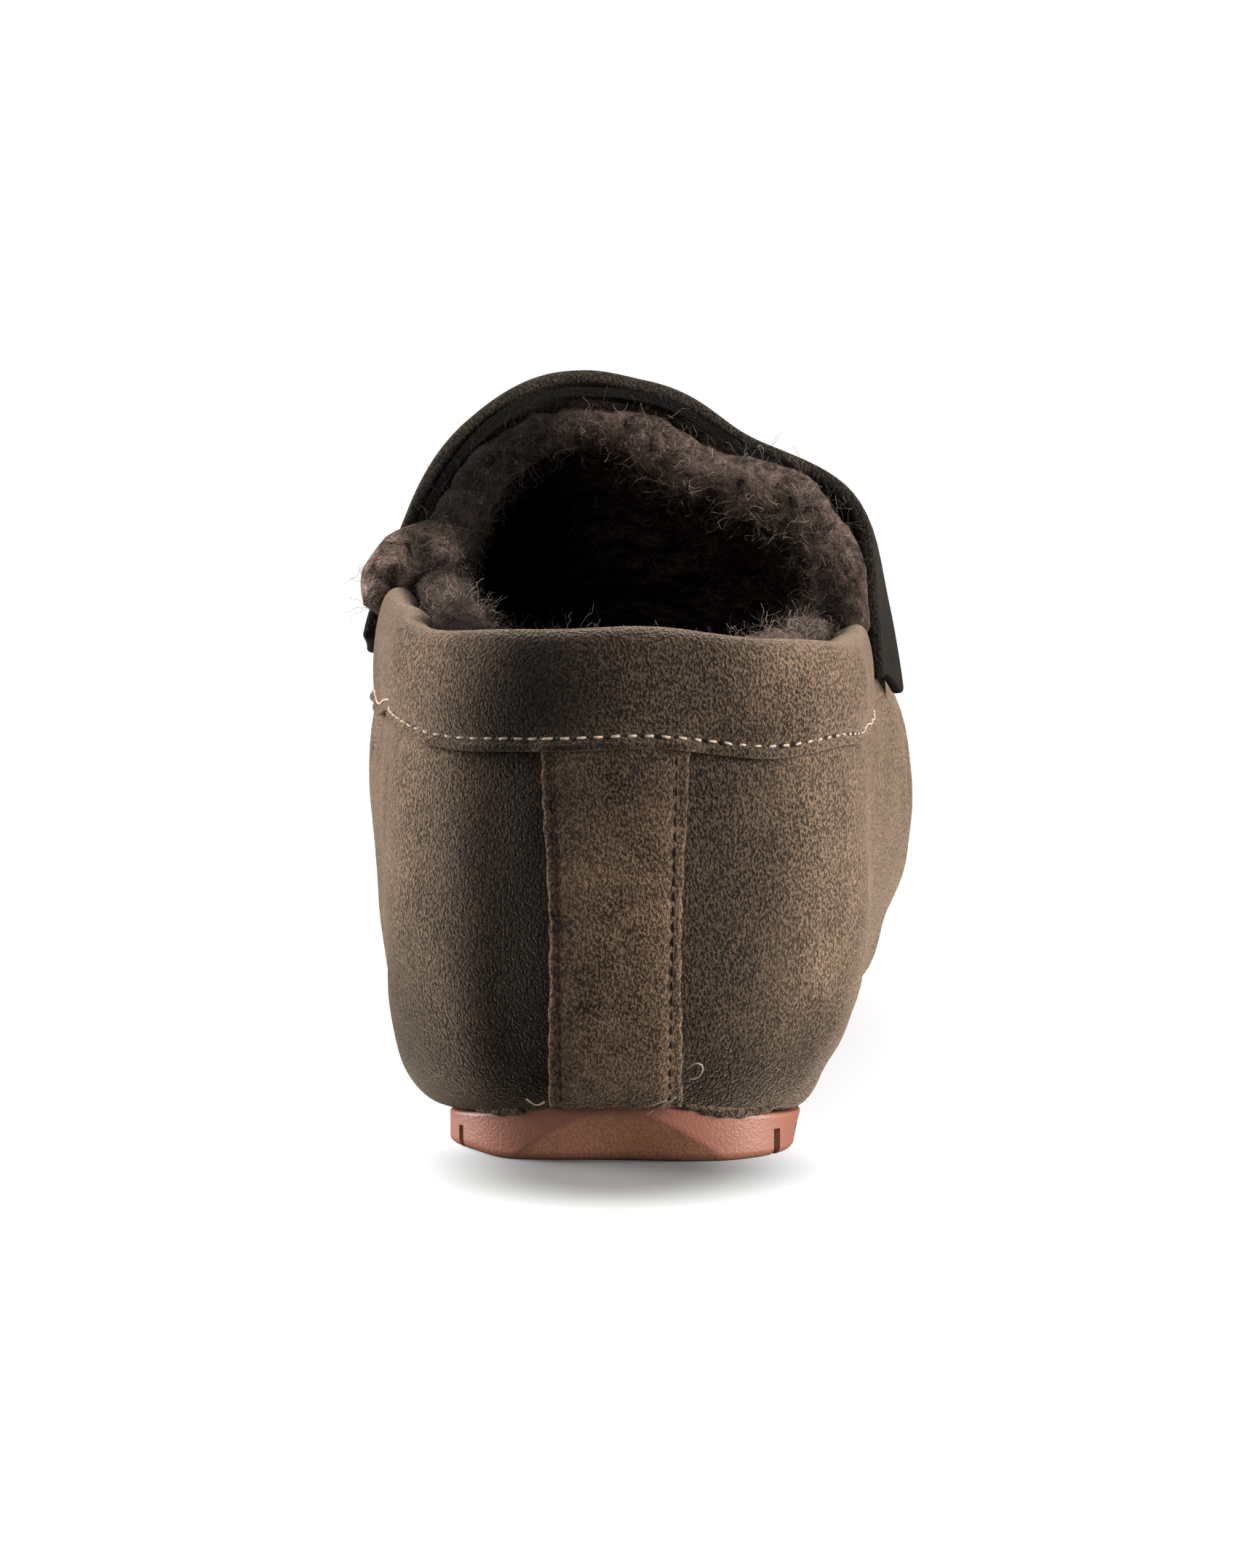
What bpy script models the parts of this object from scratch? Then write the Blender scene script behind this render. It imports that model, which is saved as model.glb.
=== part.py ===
# Sheepskin moccasin for the right foot, standing on its sole.
# The model is in metres with +Z up: the heel points to -Y, the toe to +Y, and the outer side is at +X.
# The sizes below are in millimetres, measured from the back of the heel and from the floor,
# and build_object turns them into metres and moves the origin to the middle of the footprint.

import math

import bmesh
import bpy
import numpy as np

MM = 0.001
GAP = 0.35  # clearance between pieces that touch

# Last: the foot form that every piece is measured from
HEEL_CENTRE_Y = 37.0
TOE_CENTRE_Y = 246.0
HEEL_ARC = HEEL_CENTRE_Y * math.pi / 2
TOE_ARC = 43.0 * math.pi / 2
CREST_SHIFT = -7.0  # the instep's crest lies to the inner side of the heel's centre line
CREST_SHIFT_Y = 118.0

# Sheepskin wall and its turned-in lasting margin
WALL = 8.0
RIM_WALL = 4.2
RIM_TAPER = 18.0
MARGIN = 11.0
MARGIN_WALL = 3.0
FOOT_INSET = 0.7  # share of the wall that narrows the inside at the sole's edge
FOOT_RISE = 0.02  # how steeply the section leaves the sole, and how its lower curve bends, as shares of its height
LOW_BEND = 0.56
LOW_BEND_FULL = 0.32

# Tongue and throat
THROAT_Y = 106.0
TONGUE_Y = 120.0

# Suede overlays
BAND_DEPTH = 18.8
BAND_THICK = 1.3
BAND_SETBACK = 0.5  # its ends stop short of the throat's corners
BACKSTAY_TOP_HALF = 10.7
BACKSTAY_FOOT_HALF = 9.6
BACKSTAY_THICK = 1.2
BACKSTAY_FOOT_Z = 11.0
STRAP_WIDTH = 27.0
STRAP_THICK = 2.3
STRAP_FLARE = 0.5  # how far its ends stand off the upper
STRAP_FLARE_REACH = 0.75  # share of each half over which they do
STRAP_END_Z = {1: 67.0, -1: 74.0}  # outer side, inner side

# Rubber sole
SOLE_LEDGE = 1.0
SOLE_SEAT = 4.3
SOLE_LIP = 0.2
SEAT_CLEAR = 1.0
EDGE_BEVEL = 0.8
EDGE_ROUND = 0.25
ARCH_RISE = 2.2
ARCH_Y = (72.0, 140.0)
TOE_SPRING = 9.0
TOE_SPRING_Y = 222.0
SHOE_LENGTH = 290.0
HEEL_ROLL = 3.2  # how far the back of the heel is cut away at the floor
HEEL_ROLL_HALF = 20.0
HEEL_ROLL_BEND = 0.82  # share of that cut left at the top of the bevel
HEEL_ROLL_FADE = 6.0
HEEL_FACET_TOP = 1.0  # rubber left above the cut
HEEL_ROUND = 0.8  # the inner corner of the heel is worn round, between these places
HEEL_ROUND_PLACES = (10.0, 28.0)
HEEL_ROUND_FADE = 14.0
LUG_FIRST = 28.5
LUG_PITCH = 10.6
LUG_COUNT = 25
NOTCH_WIDTH = 1.6
NOTCH_DEPTH = 1.5
NOTCH_RISE = 0.64  # share of the sole's edge that a notch cuts
NOTCH_WALL = 0.1
NOTCH_LIP = 0.3

# Sheepskin sock
INSOLE_CLEAR = 0.8
INSOLE_SIDE_W = -0.86  # how far up the wall its side and its rim reach
INSOLE_RIM_W = -0.66
INSOLE_CROWN = 1.2
INSOLE_THICK = 9.0

# Sections round the last. turn is the way a section faces: 0 straight back, 90 to the side, 180 straight ahead.
# y is the place of its axis, and sole the thickness of the sole's edge below it.
STATION_COLUMNS = ("turn", "y", "sole")
STATIONS = [
    (0, 37, 9.2),
    (45, 37, 7.2),
    (90, 37, 5.2),
    (90, 80, 4.8),
    (90, 118, 4.8),
    (90, 150, 4.8),
    (90, 180, 4.8),
    (90, 210, 4.8),
    (90, 246, 5.0),
    (135, 246, 5.4),
    (180, 246, 5.8),
]
# One row for each station. foot and wide are the reach from the crest line at the sole and at the widest
# place, wide_z the height of that place, low how full the section is below it, and side and top above it.
SIDE_COLUMNS = ("foot", "wide", "wide_z", "low", "side", "top")
OUTER_SIDE = [
    (29.0, 37.0, 36, 0.55, 0.50, 0.50),
    (32.5, 39.5, 37, 0.48, 0.50, 0.50),
    (28.0, 40.5, 38, 0.42, 0.52, 0.52),
    (32.5, 46.5, 42, 0.42, 0.62, 0.55),
    (37.5, 52.5, 49, 0.42, 0.83, 0.45),
    (44.5, 59.0, 43, 0.40, 0.65, 0.50),
    (49.5, 61.0, 40, 0.42, 0.59, 0.55),
    (47.0, 57.5, 38, 0.48, 0.57, 0.58),
    (38.5, 46.5, 34, 0.60, 0.58, 0.60),
    (36.5, 43.0, 31, 0.60, 0.58, 0.60),
    (37.0, 43.5, 30, 0.60, 0.58, 0.60),
]
INNER_SIDE = [
    (29.0, 37.0, 36, 0.55, 0.50, 0.50),
    (30.0, 38.5, 37, 0.70, 0.50, 0.50),
    (24.0, 36.6, 38, 0.80, 0.52, 0.52),
    (21.5, 36.3, 44, 0.75, 0.58, 0.52),
    (18.5, 34.5, 52, 0.65, 0.44, 0.64),
    (23.5, 36.5, 47, 0.60, 0.52, 0.54),
    (29.0, 38.4, 45, 0.58, 0.55, 0.55),
    (30.5, 38.8, 40, 0.58, 0.57, 0.58),
    (28.0, 36.0, 34, 0.60, 0.58, 0.60),
    (32.0, 39.0, 31, 0.60, 0.58, 0.60),
    (37.0, 43.5, 30, 0.60, 0.58, 0.60),
]
# Height of the crest over the foot. Behind the tongue nothing reaches it: the topline cuts the sections off.
CREST_COLUMNS = ("y", "height")
CREST = [
    (37, 152),
    (80, 136),
    (118, 118),
    (150, 102.5),
    (180, 88.5),
    (210, 76),
    (246, 62),
]
# Height of the collar's edge from the heel to the corners of the throat
TOPLINE_COLUMNS = ("turn", "y", "outer", "inner")
TOPLINE = [
    (0, 37, 84.0, 84.0),
    (45, 37, 82.0, 83.4),
    (90, 37, 80.0, 83.2),
    (90, 80, 77.6, 83.4),
    (90, 106, 77.4, 84.0),
]
# Soft folds of the tongue: w is the place up the section, 0 at the widest and 1 at the crest
FOLD_COLUMNS = ("side", "y", "w", "y_reach", "w_reach", "rise")
FOLDS = [
    (1, 116, 0.33, 22, 0.12, 2.8),
    (1, 118, 0.58, 20, 0.16, -3.4),
]

# Mesh density
HEEL_STEPS = 8
COLLAR_STEPS = 7
TONGUE_STEPS = 8
VAMP_STEPS = 10
TOE_STEPS = 6
LOWER_STEPS = 5
UPPER_STEPS = 8
BAND_POINTS = (4, 45)
BACKSTAY_POINTS = (12, 7)
STRAP_POINTS = (6, 15)
INSOLE_POINTS = 41
SOLE_POINTS = 36
SOLE_HEEL_POINTS = 10
SOLE_MIDDLE = 0.72  # place of the ring of points inside the sole's edge
SEARCH_POINTS = 161
STEP_W = 0.01
STEP_PLACE = 0.25
JOIN_DISTANCE = 2e-6


def ease(value):
    value = np.clip(value, 0.0, 1.0)
    return value * value * (3.0 - 2.0 * value)


def smooth_curve(knots, values):
    """A function through the knots that is smooth to its second derivative."""
    knots = np.asarray(knots, float)
    values = np.asarray(values, float)
    step = np.diff(knots)
    matrix = np.eye(len(knots))
    bend = np.zeros(len(knots))
    for i in range(1, len(knots) - 1):
        matrix[i, i - 1 : i + 2] = step[i - 1], 2 * (step[i - 1] + step[i]), step[i]
        bend[i] = 6 * ((values[i + 1] - values[i]) / step[i] - (values[i] - values[i - 1]) / step[i - 1])
    bend = np.linalg.solve(matrix, bend)

    def at(place):
        i = np.clip(np.searchsorted(knots, place) - 1, 0, len(knots) - 2)
        a = (knots[i + 1] - place) / step[i]
        b = (place - knots[i]) / step[i]
        curve = (a**3 - a) * bend[i] + (b**3 - b) * bend[i + 1]
        return a * values[i] + b * values[i + 1] + curve * step[i] ** 2 / 6

    return at


def round_curve(knots, values, period):
    """smooth_curve for values that repeat after one period."""
    knots = np.asarray(knots, float)
    wrapped = np.concatenate([knots - period, knots, knots + period])
    return smooth_curve(wrapped, np.tile(values, 3))


def column(rows, names, name):
    return [row[names.index(name)] for row in rows]


def along(turn, y):
    """Distance of a section round the last, from the back of the heel."""
    heel = min(turn, 90) / 90 * HEEL_ARC
    toe = max(turn - 90, 0) / 90 * TOE_ARC
    return heel + (y - HEEL_CENTRE_Y) + toe


ROUND_TOE = HEEL_ARC + (TOE_CENTRE_Y - HEEL_CENTRE_Y) + TOE_ARC
STATION_PLACES = [along(turn, y) for turn, y, sole in STATIONS]
# The outer side has places from 0 to ROUND_TOE, and the inner side the same places below zero.
ROUND_PLACES = [-place for place in STATION_PLACES[-2:0:-1]] + STATION_PLACES


def both_sides(name):
    outer = column(OUTER_SIDE, SIDE_COLUMNS, name)
    inner = column(INNER_SIDE, SIDE_COLUMNS, name)
    return round_curve(ROUND_PLACES, inner[-2:0:-1] + outer, 2 * ROUND_TOE)


SHAPE = {name: both_sides(name) for name in SIDE_COLUMNS}
sole_rows = column(STATIONS, STATION_COLUMNS, "sole")
SHAPE["sole"] = round_curve(ROUND_PLACES, sole_rows[-2:0:-1] + sole_rows, 2 * ROUND_TOE)
crest_height = smooth_curve(column(CREST, CREST_COLUMNS, "y"), column(CREST, CREST_COLUMNS, "height"))
topline_places = [along(turn, y) for turn, y, outer, inner in TOPLINE]
topline_height = smooth_curve(
    [-place for place in topline_places[:0:-1]] + topline_places,
    column(TOPLINE, TOPLINE_COLUMNS, "inner")[:0:-1] + column(TOPLINE, TOPLINE_COLUMNS, "outer"),
)
THROAT = along(90, THROAT_Y)
TONGUE = along(90, TONGUE_Y)


def floor_line(y):
    """Height of the sole's underside: flat under heel and ball, raised at the arch and the toe."""
    arch = np.clip((y - ARCH_Y[0]) / (ARCH_Y[1] - ARCH_Y[0]), 0.0, 1.0)
    toe = np.clip((y - TOE_SPRING_Y) / (SHOE_LENGTH - TOE_SPRING_Y), 0.0, 1.0)
    return ARCH_RISE * np.sin(math.pi * arch) ** 2 + TOE_SPRING * toe**2


def plane(place):
    """Axis and facing of the section at each place: x and y of the axis, x and y of the outward way."""
    distance = np.abs(place)
    side = np.where(place < 0, -1.0, 1.0)
    heel = np.clip(distance / HEEL_ARC, 0.0, 1.0)
    toe = np.clip((distance - along(90, TOE_CENTRE_Y)) / TOE_ARC, 0.0, 1.0)
    turn = (heel + toe) * math.pi / 2
    y = np.clip(HEEL_CENTRE_Y + distance - HEEL_ARC, HEEL_CENTRE_Y, TOE_CENTRE_Y)
    x = CREST_SHIFT * ease((y - HEEL_CENTRE_Y) / (CREST_SHIFT_Y - HEEL_CENTRE_Y))
    return x, y, side * np.sin(turn), -np.cos(turn)


def bezier(a, b, c, d, t):
    s = 1.0 - t
    point = a * s**3 + 3 * b * s * s * t + 3 * c * s * t * t + d * t**3
    slope = 3 * (s * s * (b - a) + 2 * s * t * (c - b) + t * t * (d - c))
    return point, slope


def last_form(place, w, inset=0.0):
    """Points of the last at places round it and heights w up the section.

    w runs from -2 at the edge of the lasting margin through -1 at the sole's edge and 0 at the widest place
    to 1 at the crest. inset makes the smaller form that the inside of the wall follows.
    """
    place, w, inset = np.broadcast_arrays(np.asarray(place, float), np.asarray(w, float), np.asarray(inset, float))
    axis_x, axis_y, way_x, way_y = plane(place)
    foot = SHAPE["foot"](place)
    wide = SHAPE["wide"](place) - inset
    wide_z = SHAPE["wide_z"](place)
    crest = crest_height(axis_y) - inset
    foot_z = floor_line(axis_y + way_y * foot) + SHAPE["sole"](place) + MARGIN_WALL * inset / WALL
    foot = foot - FOOT_INSET * inset

    # Below the widest place the wall sweeps out from under the foot
    low = np.clip(w + 1.0, 0.0, 1.0)
    spread = wide - foot
    rise = wide_z - foot_z
    full = SHAPE["low"](place)
    low_r, low_dr = bezier(foot, foot + full * spread, wide, wide, low)
    bend_z = foot_z + (LOW_BEND - LOW_BEND_FULL * full) * rise
    low_z, low_dz = bezier(foot_z, foot_z + FOOT_RISE * rise, bend_z, wide_z, low)

    # Above it the wall closes over the foot. At the toe the crest keeps its downward slope.
    high = np.clip(w, 0.0, 1.0)
    toe_slope = (crest_height(TOE_CENTRE_Y) - crest_height(TOE_CENTRE_Y - 1.0)) * np.clip(way_y, 0.0, 1.0)
    shoulder = wide_z + SHAPE["side"](place) * (crest - wide_z)
    near_crest = SHAPE["top"](place) * wide
    high_r, high_dr = bezier(wide, wide, near_crest, 0.0 * wide, high)
    high_z, high_dz = bezier(wide_z, shoulder, crest + toe_slope * near_crest, crest, high)

    above = w > 0
    reach = np.where(above, high_r, low_r)
    height = np.where(above, high_z, low_z)
    out_r = np.where(above, high_dz, low_dz)
    out_z = -np.where(above, high_dr, low_dr)
    size = np.hypot(out_r, out_z) + 1e-9
    for row in FOLDS:
        fold = dict(zip(FOLD_COLUMNS, row))
        near = ((axis_y - fold["y"]) / fold["y_reach"]) ** 2 + ((w - fold["w"]) / fold["w_reach"]) ** 2
        lift = fold["rise"] * np.exp(-near) * ease((1.0 - w) / fold["w_reach"])
        lift = np.where(np.sign(place) == fold["side"], lift, 0.0)
        reach = reach + lift * out_r / size
        height = height + lift * out_z / size
    reach = reach - MARGIN * np.clip(-1.0 - w, 0.0, 1.0)
    return np.stack([axis_x + way_x * reach, axis_y + way_y * reach, height], axis=-1)


def outward(place, w):
    """Unit normals of the outer surface."""
    below = last_form(place, np.asarray(w) - STEP_W)
    across = last_form(np.asarray(place) + STEP_PLACE, w) - last_form(np.asarray(place) - STEP_PLACE, w)
    normal = np.cross(across, last_form(place, w) - below)
    return normal / np.linalg.norm(normal, axis=-1, keepdims=True)


def raised(place, w, lift):
    """The outer surface moved out by lift, for the overlays."""
    return last_form(place, w) + outward(place, w) * np.asarray(lift)[..., None]


def height_to_w(place, height):
    """The w above the sole's edge at which the section at each place has this height."""
    steps = np.linspace(-1.0, 1.0, SEARCH_POINTS)
    found = []
    for one, wanted in zip(np.ravel(place), np.broadcast_to(height, np.shape(place)).ravel()):
        rises = np.maximum.accumulate(last_form(np.full(steps.shape, one), steps)[:, 2])
        found.append(np.interp(wanted, rises, steps))
    return np.reshape(found, np.shape(place))


def collar_w(place):
    return height_to_w(place, topline_height(place))


THROAT_W = {side: float(collar_w(np.array([side * THROAT]))[0]) for side in (1, -1)}


def tongue_edge_y(side, w):
    """The tongue's edge leans forward from the throat's corner to its peak on the crest."""
    rise = np.clip((w - THROAT_W[side]) / (1.0 - THROAT_W[side]), 0.0, 1.0)
    return THROAT_Y + (TONGUE_Y - THROAT_Y) * np.sin(rise * math.pi / 2)


def add_object(name, points, faces, material, parent):
    """A closed mesh object from points in millimetres. Points that coincide are joined."""
    mesh = bpy.data.meshes.new(name)
    mesh.from_pydata((np.asarray(points) * MM).tolist(), [], faces)
    shape = bmesh.new()
    shape.from_mesh(mesh)
    bmesh.ops.remove_doubles(shape, verts=shape.verts, dist=JOIN_DISTANCE)
    bmesh.ops.dissolve_degenerate(shape, edges=shape.edges, dist=JOIN_DISTANCE / 20)
    bmesh.ops.triangulate(shape, faces=shape.faces)
    bmesh.ops.recalc_face_normals(shape, faces=shape.faces)
    shape.to_mesh(mesh)
    shape.free()
    mesh.shade_smooth()
    mesh.set_sharp_from_angle(angle=math.radians(40))
    mesh.materials.append(material)
    obj = bpy.data.objects.new(name, mesh)
    bpy.context.scene.collection.objects.link(obj)
    obj.parent = parent
    return obj


def add_material(name, colour, roughness):
    material = bpy.data.materials.new(name)
    material.use_nodes = True
    surface = material.node_tree.nodes["Principled BSDF"]
    surface.inputs["Base Color"].default_value = (*colour, 1.0)
    surface.inputs["Roughness"].default_value = roughness
    surface.inputs["Metallic"].default_value = 0.0
    return material


def grid_faces(rows, columns, start=0, closed=False):
    """Quads of a grid whose points are stored row by row. A closed grid joins its last column to its first."""
    faces = []
    for i in range(rows - 1):
        for j in range(columns - (0 if closed else 1)):
            k = (j + 1) % columns
            corners = (i * columns + j, i * columns + k, (i + 1) * columns + k, (i + 1) * columns + j)
            faces.append(tuple(start + corner for corner in corners))
    return faces


def slab(outside, inside):
    """Points and faces of a closed sheet between two grids of the same size."""
    rows, columns = outside.shape[:2]
    count = rows * columns
    points = np.concatenate([outside.reshape(-1, 3), inside.reshape(-1, 3)])
    faces = grid_faces(rows, columns) + [face[::-1] for face in grid_faces(rows, columns, count)]
    top = [i * columns for i in range(rows)]
    border = list(range(columns)) + [i + columns - 1 for i in top[1:]]
    border += list(range(count - 2, count - columns - 1, -1)) + top[-2:0:-1]
    for a, b in zip(border, border[1:] + border[:1]):
        faces.append((b, a, count + a, count + b))
    return points, faces


def upper_columns():
    """Places of the mesh columns at the sole and at the edge, the w of that edge, and whether it is open."""
    heel = np.linspace(0.0, HEEL_ARC, HEEL_STEPS + 1)[:-1]
    collar = np.linspace(HEEL_ARC, THROAT, COLLAR_STEPS + 1)
    vamp = np.linspace(TONGUE, along(90, TOE_CENTRE_Y), VAMP_STEPS + 1)
    toe = np.linspace(vamp[-1], ROUND_TOE, TOE_STEPS + 1)[1:]
    side_count = len(collar) + TONGUE_STEPS + VAMP_STEPS
    low = np.concatenate([heel, np.linspace(HEEL_ARC, vamp[-1], side_count), toe])
    found = {}
    for side in (1, -1):
        tongue_w = np.linspace(THROAT_W[side], 1.0, TONGUE_STEPS + 1)[1:]
        tongue = along(90, tongue_edge_y(side, tongue_w))
        high = np.concatenate([heel, collar, tongue, vamp[1:], toe])
        rear = np.concatenate([heel, collar])
        top_w = np.concatenate([collar_w(side * rear), tongue_w, np.ones(len(high) - len(rear) - TONGUE_STEPS)])
        is_open = np.arange(len(high)) < len(rear) + TONGUE_STEPS
        found[side] = side * low, side * high, top_w, is_open
    there = found[1]
    back = [values[-2:0:-1] for values in found[-1]]
    return [np.concatenate(pair) for pair in zip(there, back)]


def edge_distance(place, w, height):
    """Distance of points on the wall from the collar's or tongue's open edge."""
    _, y, _, _ = plane(place)
    collar = topline_height(np.clip(place, -THROAT, THROAT)) - height
    tongue_y = np.where(place < 0, tongue_edge_y(-1, w), tongue_edge_y(1, w))
    return np.where(np.abs(place) <= THROAT, collar, np.hypot(y - tongue_y, np.maximum(collar, 0.0)))


def build_upper(material, parent):
    low, high, top_w, is_open = upper_columns()
    lower = np.linspace(-1.0, 0.0, LOWER_STEPS + 1)
    upper = np.linspace(0.0, 1.0, UPPER_STEPS + 1)[1:]
    share = np.concatenate([[-2.0], lower, upper])[:, None]
    up = ease(np.linspace(0.0, 1.0, len(share)))[:, None]
    place = low + (high - low) * up
    w = np.where(share > 0, share * top_w, share)
    outside = last_form(place, w)
    open_edge = 1.0 - ease(edge_distance(place, w, outside[..., 2]) / RIM_TAPER)
    inside = last_form(place, w, WALL - (WALL - RIM_WALL) * np.where(w > 0, open_edge, 0.0))
    rows, columns = place.shape
    count = rows * columns
    points = np.concatenate([outside.reshape(-1, 3), inside.reshape(-1, 3)])
    faces = grid_faces(rows, columns, closed=True)
    faces += [face[::-1] for face in grid_faces(rows, columns, count, closed=True)]
    last = count - columns
    for j in range(columns):
        k = (j + 1) % columns
        faces.append((k, j, count + j, count + k))
        if is_open[j] and is_open[k]:
            faces.append((last + j, last + k, count + last + k, count + last + j))
    return add_object("upper", points, faces, material, parent)


def build_collar_band(material, parent):
    rows, columns = BAND_POINTS
    place = np.linspace(-THROAT + BAND_SETBACK, THROAT - BAND_SETBACK, columns)
    top = topline_height(place)
    w = np.stack([height_to_w(place, top - BAND_DEPTH * part) for part in np.linspace(0.0, 1.0, rows)])
    place = np.broadcast_to(place, w.shape)
    points, faces = slab(raised(place, w, GAP + BAND_THICK + 0 * w), raised(place, w, GAP + 0 * w))
    return add_object("collar_band", points, faces, material, parent)


def build_backstay(material, parent):
    rows, columns = BACKSTAY_POINTS
    top = topline_height(np.zeros(1)) - BAND_DEPTH - 3 * GAP
    height = np.linspace(BACKSTAY_FOOT_Z, top[0], rows)
    half = np.linspace(BACKSTAY_FOOT_HALF, BACKSTAY_TOP_HALF, rows)
    w = height_to_w(np.zeros(rows), height)[:, None]
    reach = HEEL_CENTRE_Y - last_form(np.zeros((rows, 1)), w)[..., 1]
    across = np.linspace(-1.0, 1.0, columns) * half[:, None]
    place = np.arcsin(across / reach) / (math.pi / 2) * HEEL_ARC
    w = np.broadcast_to(w, place.shape)
    points, faces = slab(raised(place, w, GAP + BACKSTAY_THICK + 0 * w), raised(place, w, GAP + 0 * w))
    return add_object("backstay", points, faces, material, parent)


def build_saddle_strap(material, parent):
    rows, columns = STRAP_POINTS
    across = np.linspace(0.0, STRAP_WIDTH, rows)[:, None]
    halves = {}
    for side in (1, -1):
        low = float(height_to_w(np.array([side * THROAT]), STRAP_END_Z[side])[0])
        w = np.linspace(low, 1.0, columns)
        flare = STRAP_FLARE * (1.0 - ease((w - low) / (STRAP_FLARE_REACH * (1.0 - low))))
        y = tongue_edge_y(side, w) + 2 * GAP + across
        halves[side] = side * along(90, y), w + 0 * y, GAP + flare + 0 * y
    outer, inner = halves[1], [part[:, -2::-1] for part in halves[-1]]
    place, w, lift = (np.concatenate(pair, axis=1) for pair in zip(outer, inner))
    points, faces = slab(raised(place, w, lift + STRAP_THICK), raised(place, w, lift))
    return add_object("saddle_strap", points, faces, material, parent)


def build_insole(material, parent):
    outer = np.linspace(0.0, ROUND_TOE, INSOLE_POINTS)
    places = np.concatenate([outer, -outer[-2:0:-1]])
    size = WALL + INSOLE_CLEAR
    axis_x, axis_y, _, _ = plane(places)
    ledge = last_form(places, -2.0, size) + (0.0, 0.0, GAP)
    low = last_form(places, -1.0, size) + (0.0, 0.0, GAP)
    side = last_form(places, INSOLE_SIDE_W, size) + (0.0, 0.0, GAP)
    rim = last_form(places, INSOLE_RIM_W, size)
    top = (rim + np.stack([axis_x, axis_y, rim[:, 2] + INSOLE_CROWN], axis=-1)) / 2
    under_z = floor_line(axis_y) + SOLE_SEAT + MARGIN_WALL + 2 * GAP
    under = np.stack([axis_x, axis_y, under_z], axis=-1)
    crown = np.stack([axis_x, axis_y, under_z + INSOLE_THICK], axis=-1)
    rings = np.stack([under, ledge, low, side, rim, top, crown])
    points, faces = rings.reshape(-1, 3), grid_faces(len(rings), len(places), closed=True)
    return add_object("insole", points, faces, material, parent)


def lug_places():
    """Places round the sole, with four at each notch between the side lugs, and the depth cut there."""
    heel = np.linspace(0.0, LUG_FIRST - 2 * NOTCH_WIDTH, SOLE_HEEL_POINTS)
    plain = np.concatenate([heel, np.linspace(0.0, ROUND_TOE, SOLE_POINTS)[1:]])
    half = NOTCH_WIDTH / 2
    mouth = half + NOTCH_WALL
    notches = LUG_FIRST + LUG_PITCH * np.arange(LUG_COUNT)
    marks = []
    for notch in notches:
        marks += [(notch - mouth, 0.0), (notch - half, 1.0), (notch + half, 1.0), (notch + mouth, 0.0)]
    clear = [(place, 0.0) for place in plain if np.abs(notches - place).min() > NOTCH_WIDTH]
    there = sorted(set(marks + clear))
    back = [(-place, cut) for place, cut in there[-2:0:-1]]
    places, cuts = zip(*(there + back))
    return np.array(places), np.array(cuts) * NOTCH_DEPTH


def build_outsole(material, parent):
    place, cut = lug_places()
    axis_x, axis_y, way_x, way_y = plane(place)
    reach = SHAPE["foot"](place) + SOLE_LEDGE
    top = floor_line(axis_y + way_y * (reach - SOLE_LEDGE)) + SHAPE["sole"](place) - GAP
    distance = np.abs(place)
    rolled = np.clip(1.0 - (distance / HEEL_ROLL_HALF) ** 2, 0.0, 1.0)
    first, last = HEEL_ROUND_PLACES
    corner = ease((distance - first) / HEEL_ROUND_FADE) * (1 - ease((distance - last) / HEEL_ROUND_FADE))
    worn = HEEL_ROUND * np.where(place < 0, corner, 0.0)
    facet = np.maximum(EDGE_BEVEL + NOTCH_LIP, (SHAPE["sole"](place) - HEEL_FACET_TOP) * rolled)
    facet += (NOTCH_RISE * SHAPE["sole"](place) - facet) * ease((distance - HEEL_ROLL_HALF) / HEEL_ROLL_FADE)
    facet = np.maximum(facet, worn + 2 * EDGE_BEVEL)

    def ring(radius, height):
        y = axis_y + way_y * radius
        return np.stack([axis_x + way_x * radius, y, floor_line(y) + height], axis=-1)

    edge = reach - EDGE_BEVEL - HEEL_ROLL * rolled - cut
    rings = [
        ring(0.0 * reach, 0.0),
        ring(SOLE_MIDDLE * edge, 0.0),
        ring(edge, worn),
        ring(reach - EDGE_ROUND - HEEL_ROLL_BEND * HEEL_ROLL * rolled - cut, worn + EDGE_BEVEL),
        ring(reach - NOTCH_WALL - cut, facet),
        ring(reach, facet + NOTCH_LIP),
    ]
    lip = ring(reach - SOLE_LIP, 0.0)
    lip[:, 2] = top
    seat = ring(reach - SOLE_LEDGE - MARGIN - SEAT_CLEAR, 0.0)
    seat[:, 2] = top
    rings += [lip, seat, ring(0.0 * reach, SOLE_SEAT)]
    rings = np.stack(rings)
    points, faces = rings.reshape(-1, 3), grid_faces(len(rings), len(place), closed=True)
    return add_object("outsole", points, faces, material, parent)


def build_object():
    for obj in list(bpy.data.objects):
        bpy.data.objects.remove(obj, do_unlink=True)
    suede = add_material("brown_suede", (0.085, 0.062, 0.045), 0.95)
    dark_suede = add_material("dark_suede", (0.055, 0.042, 0.032), 0.95)
    wool = add_material("brown_wool", (0.045, 0.033, 0.028), 1.0)
    rubber = add_material("gum_rubber", (0.42, 0.20, 0.14), 0.55)
    shoe = bpy.data.objects.new("moccasin", None)
    bpy.context.scene.collection.objects.link(shoe)
    pieces = [
        build_outsole(rubber, shoe),
        build_insole(wool, shoe),
        build_upper(suede, shoe),
        build_collar_band(suede, shoe),
        build_backstay(suede, shoe),
        build_saddle_strap(dark_suede, shoe),
    ]
    corners = np.array([vertex.co[:] for piece in pieces for vertex in piece.data.vertices])
    low, high = corners.min(axis=0), corners.max(axis=0)
    shoe.location = (-(low[0] + high[0]) / 2, -(low[1] + high[1]) / 2, -low[2])


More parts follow.
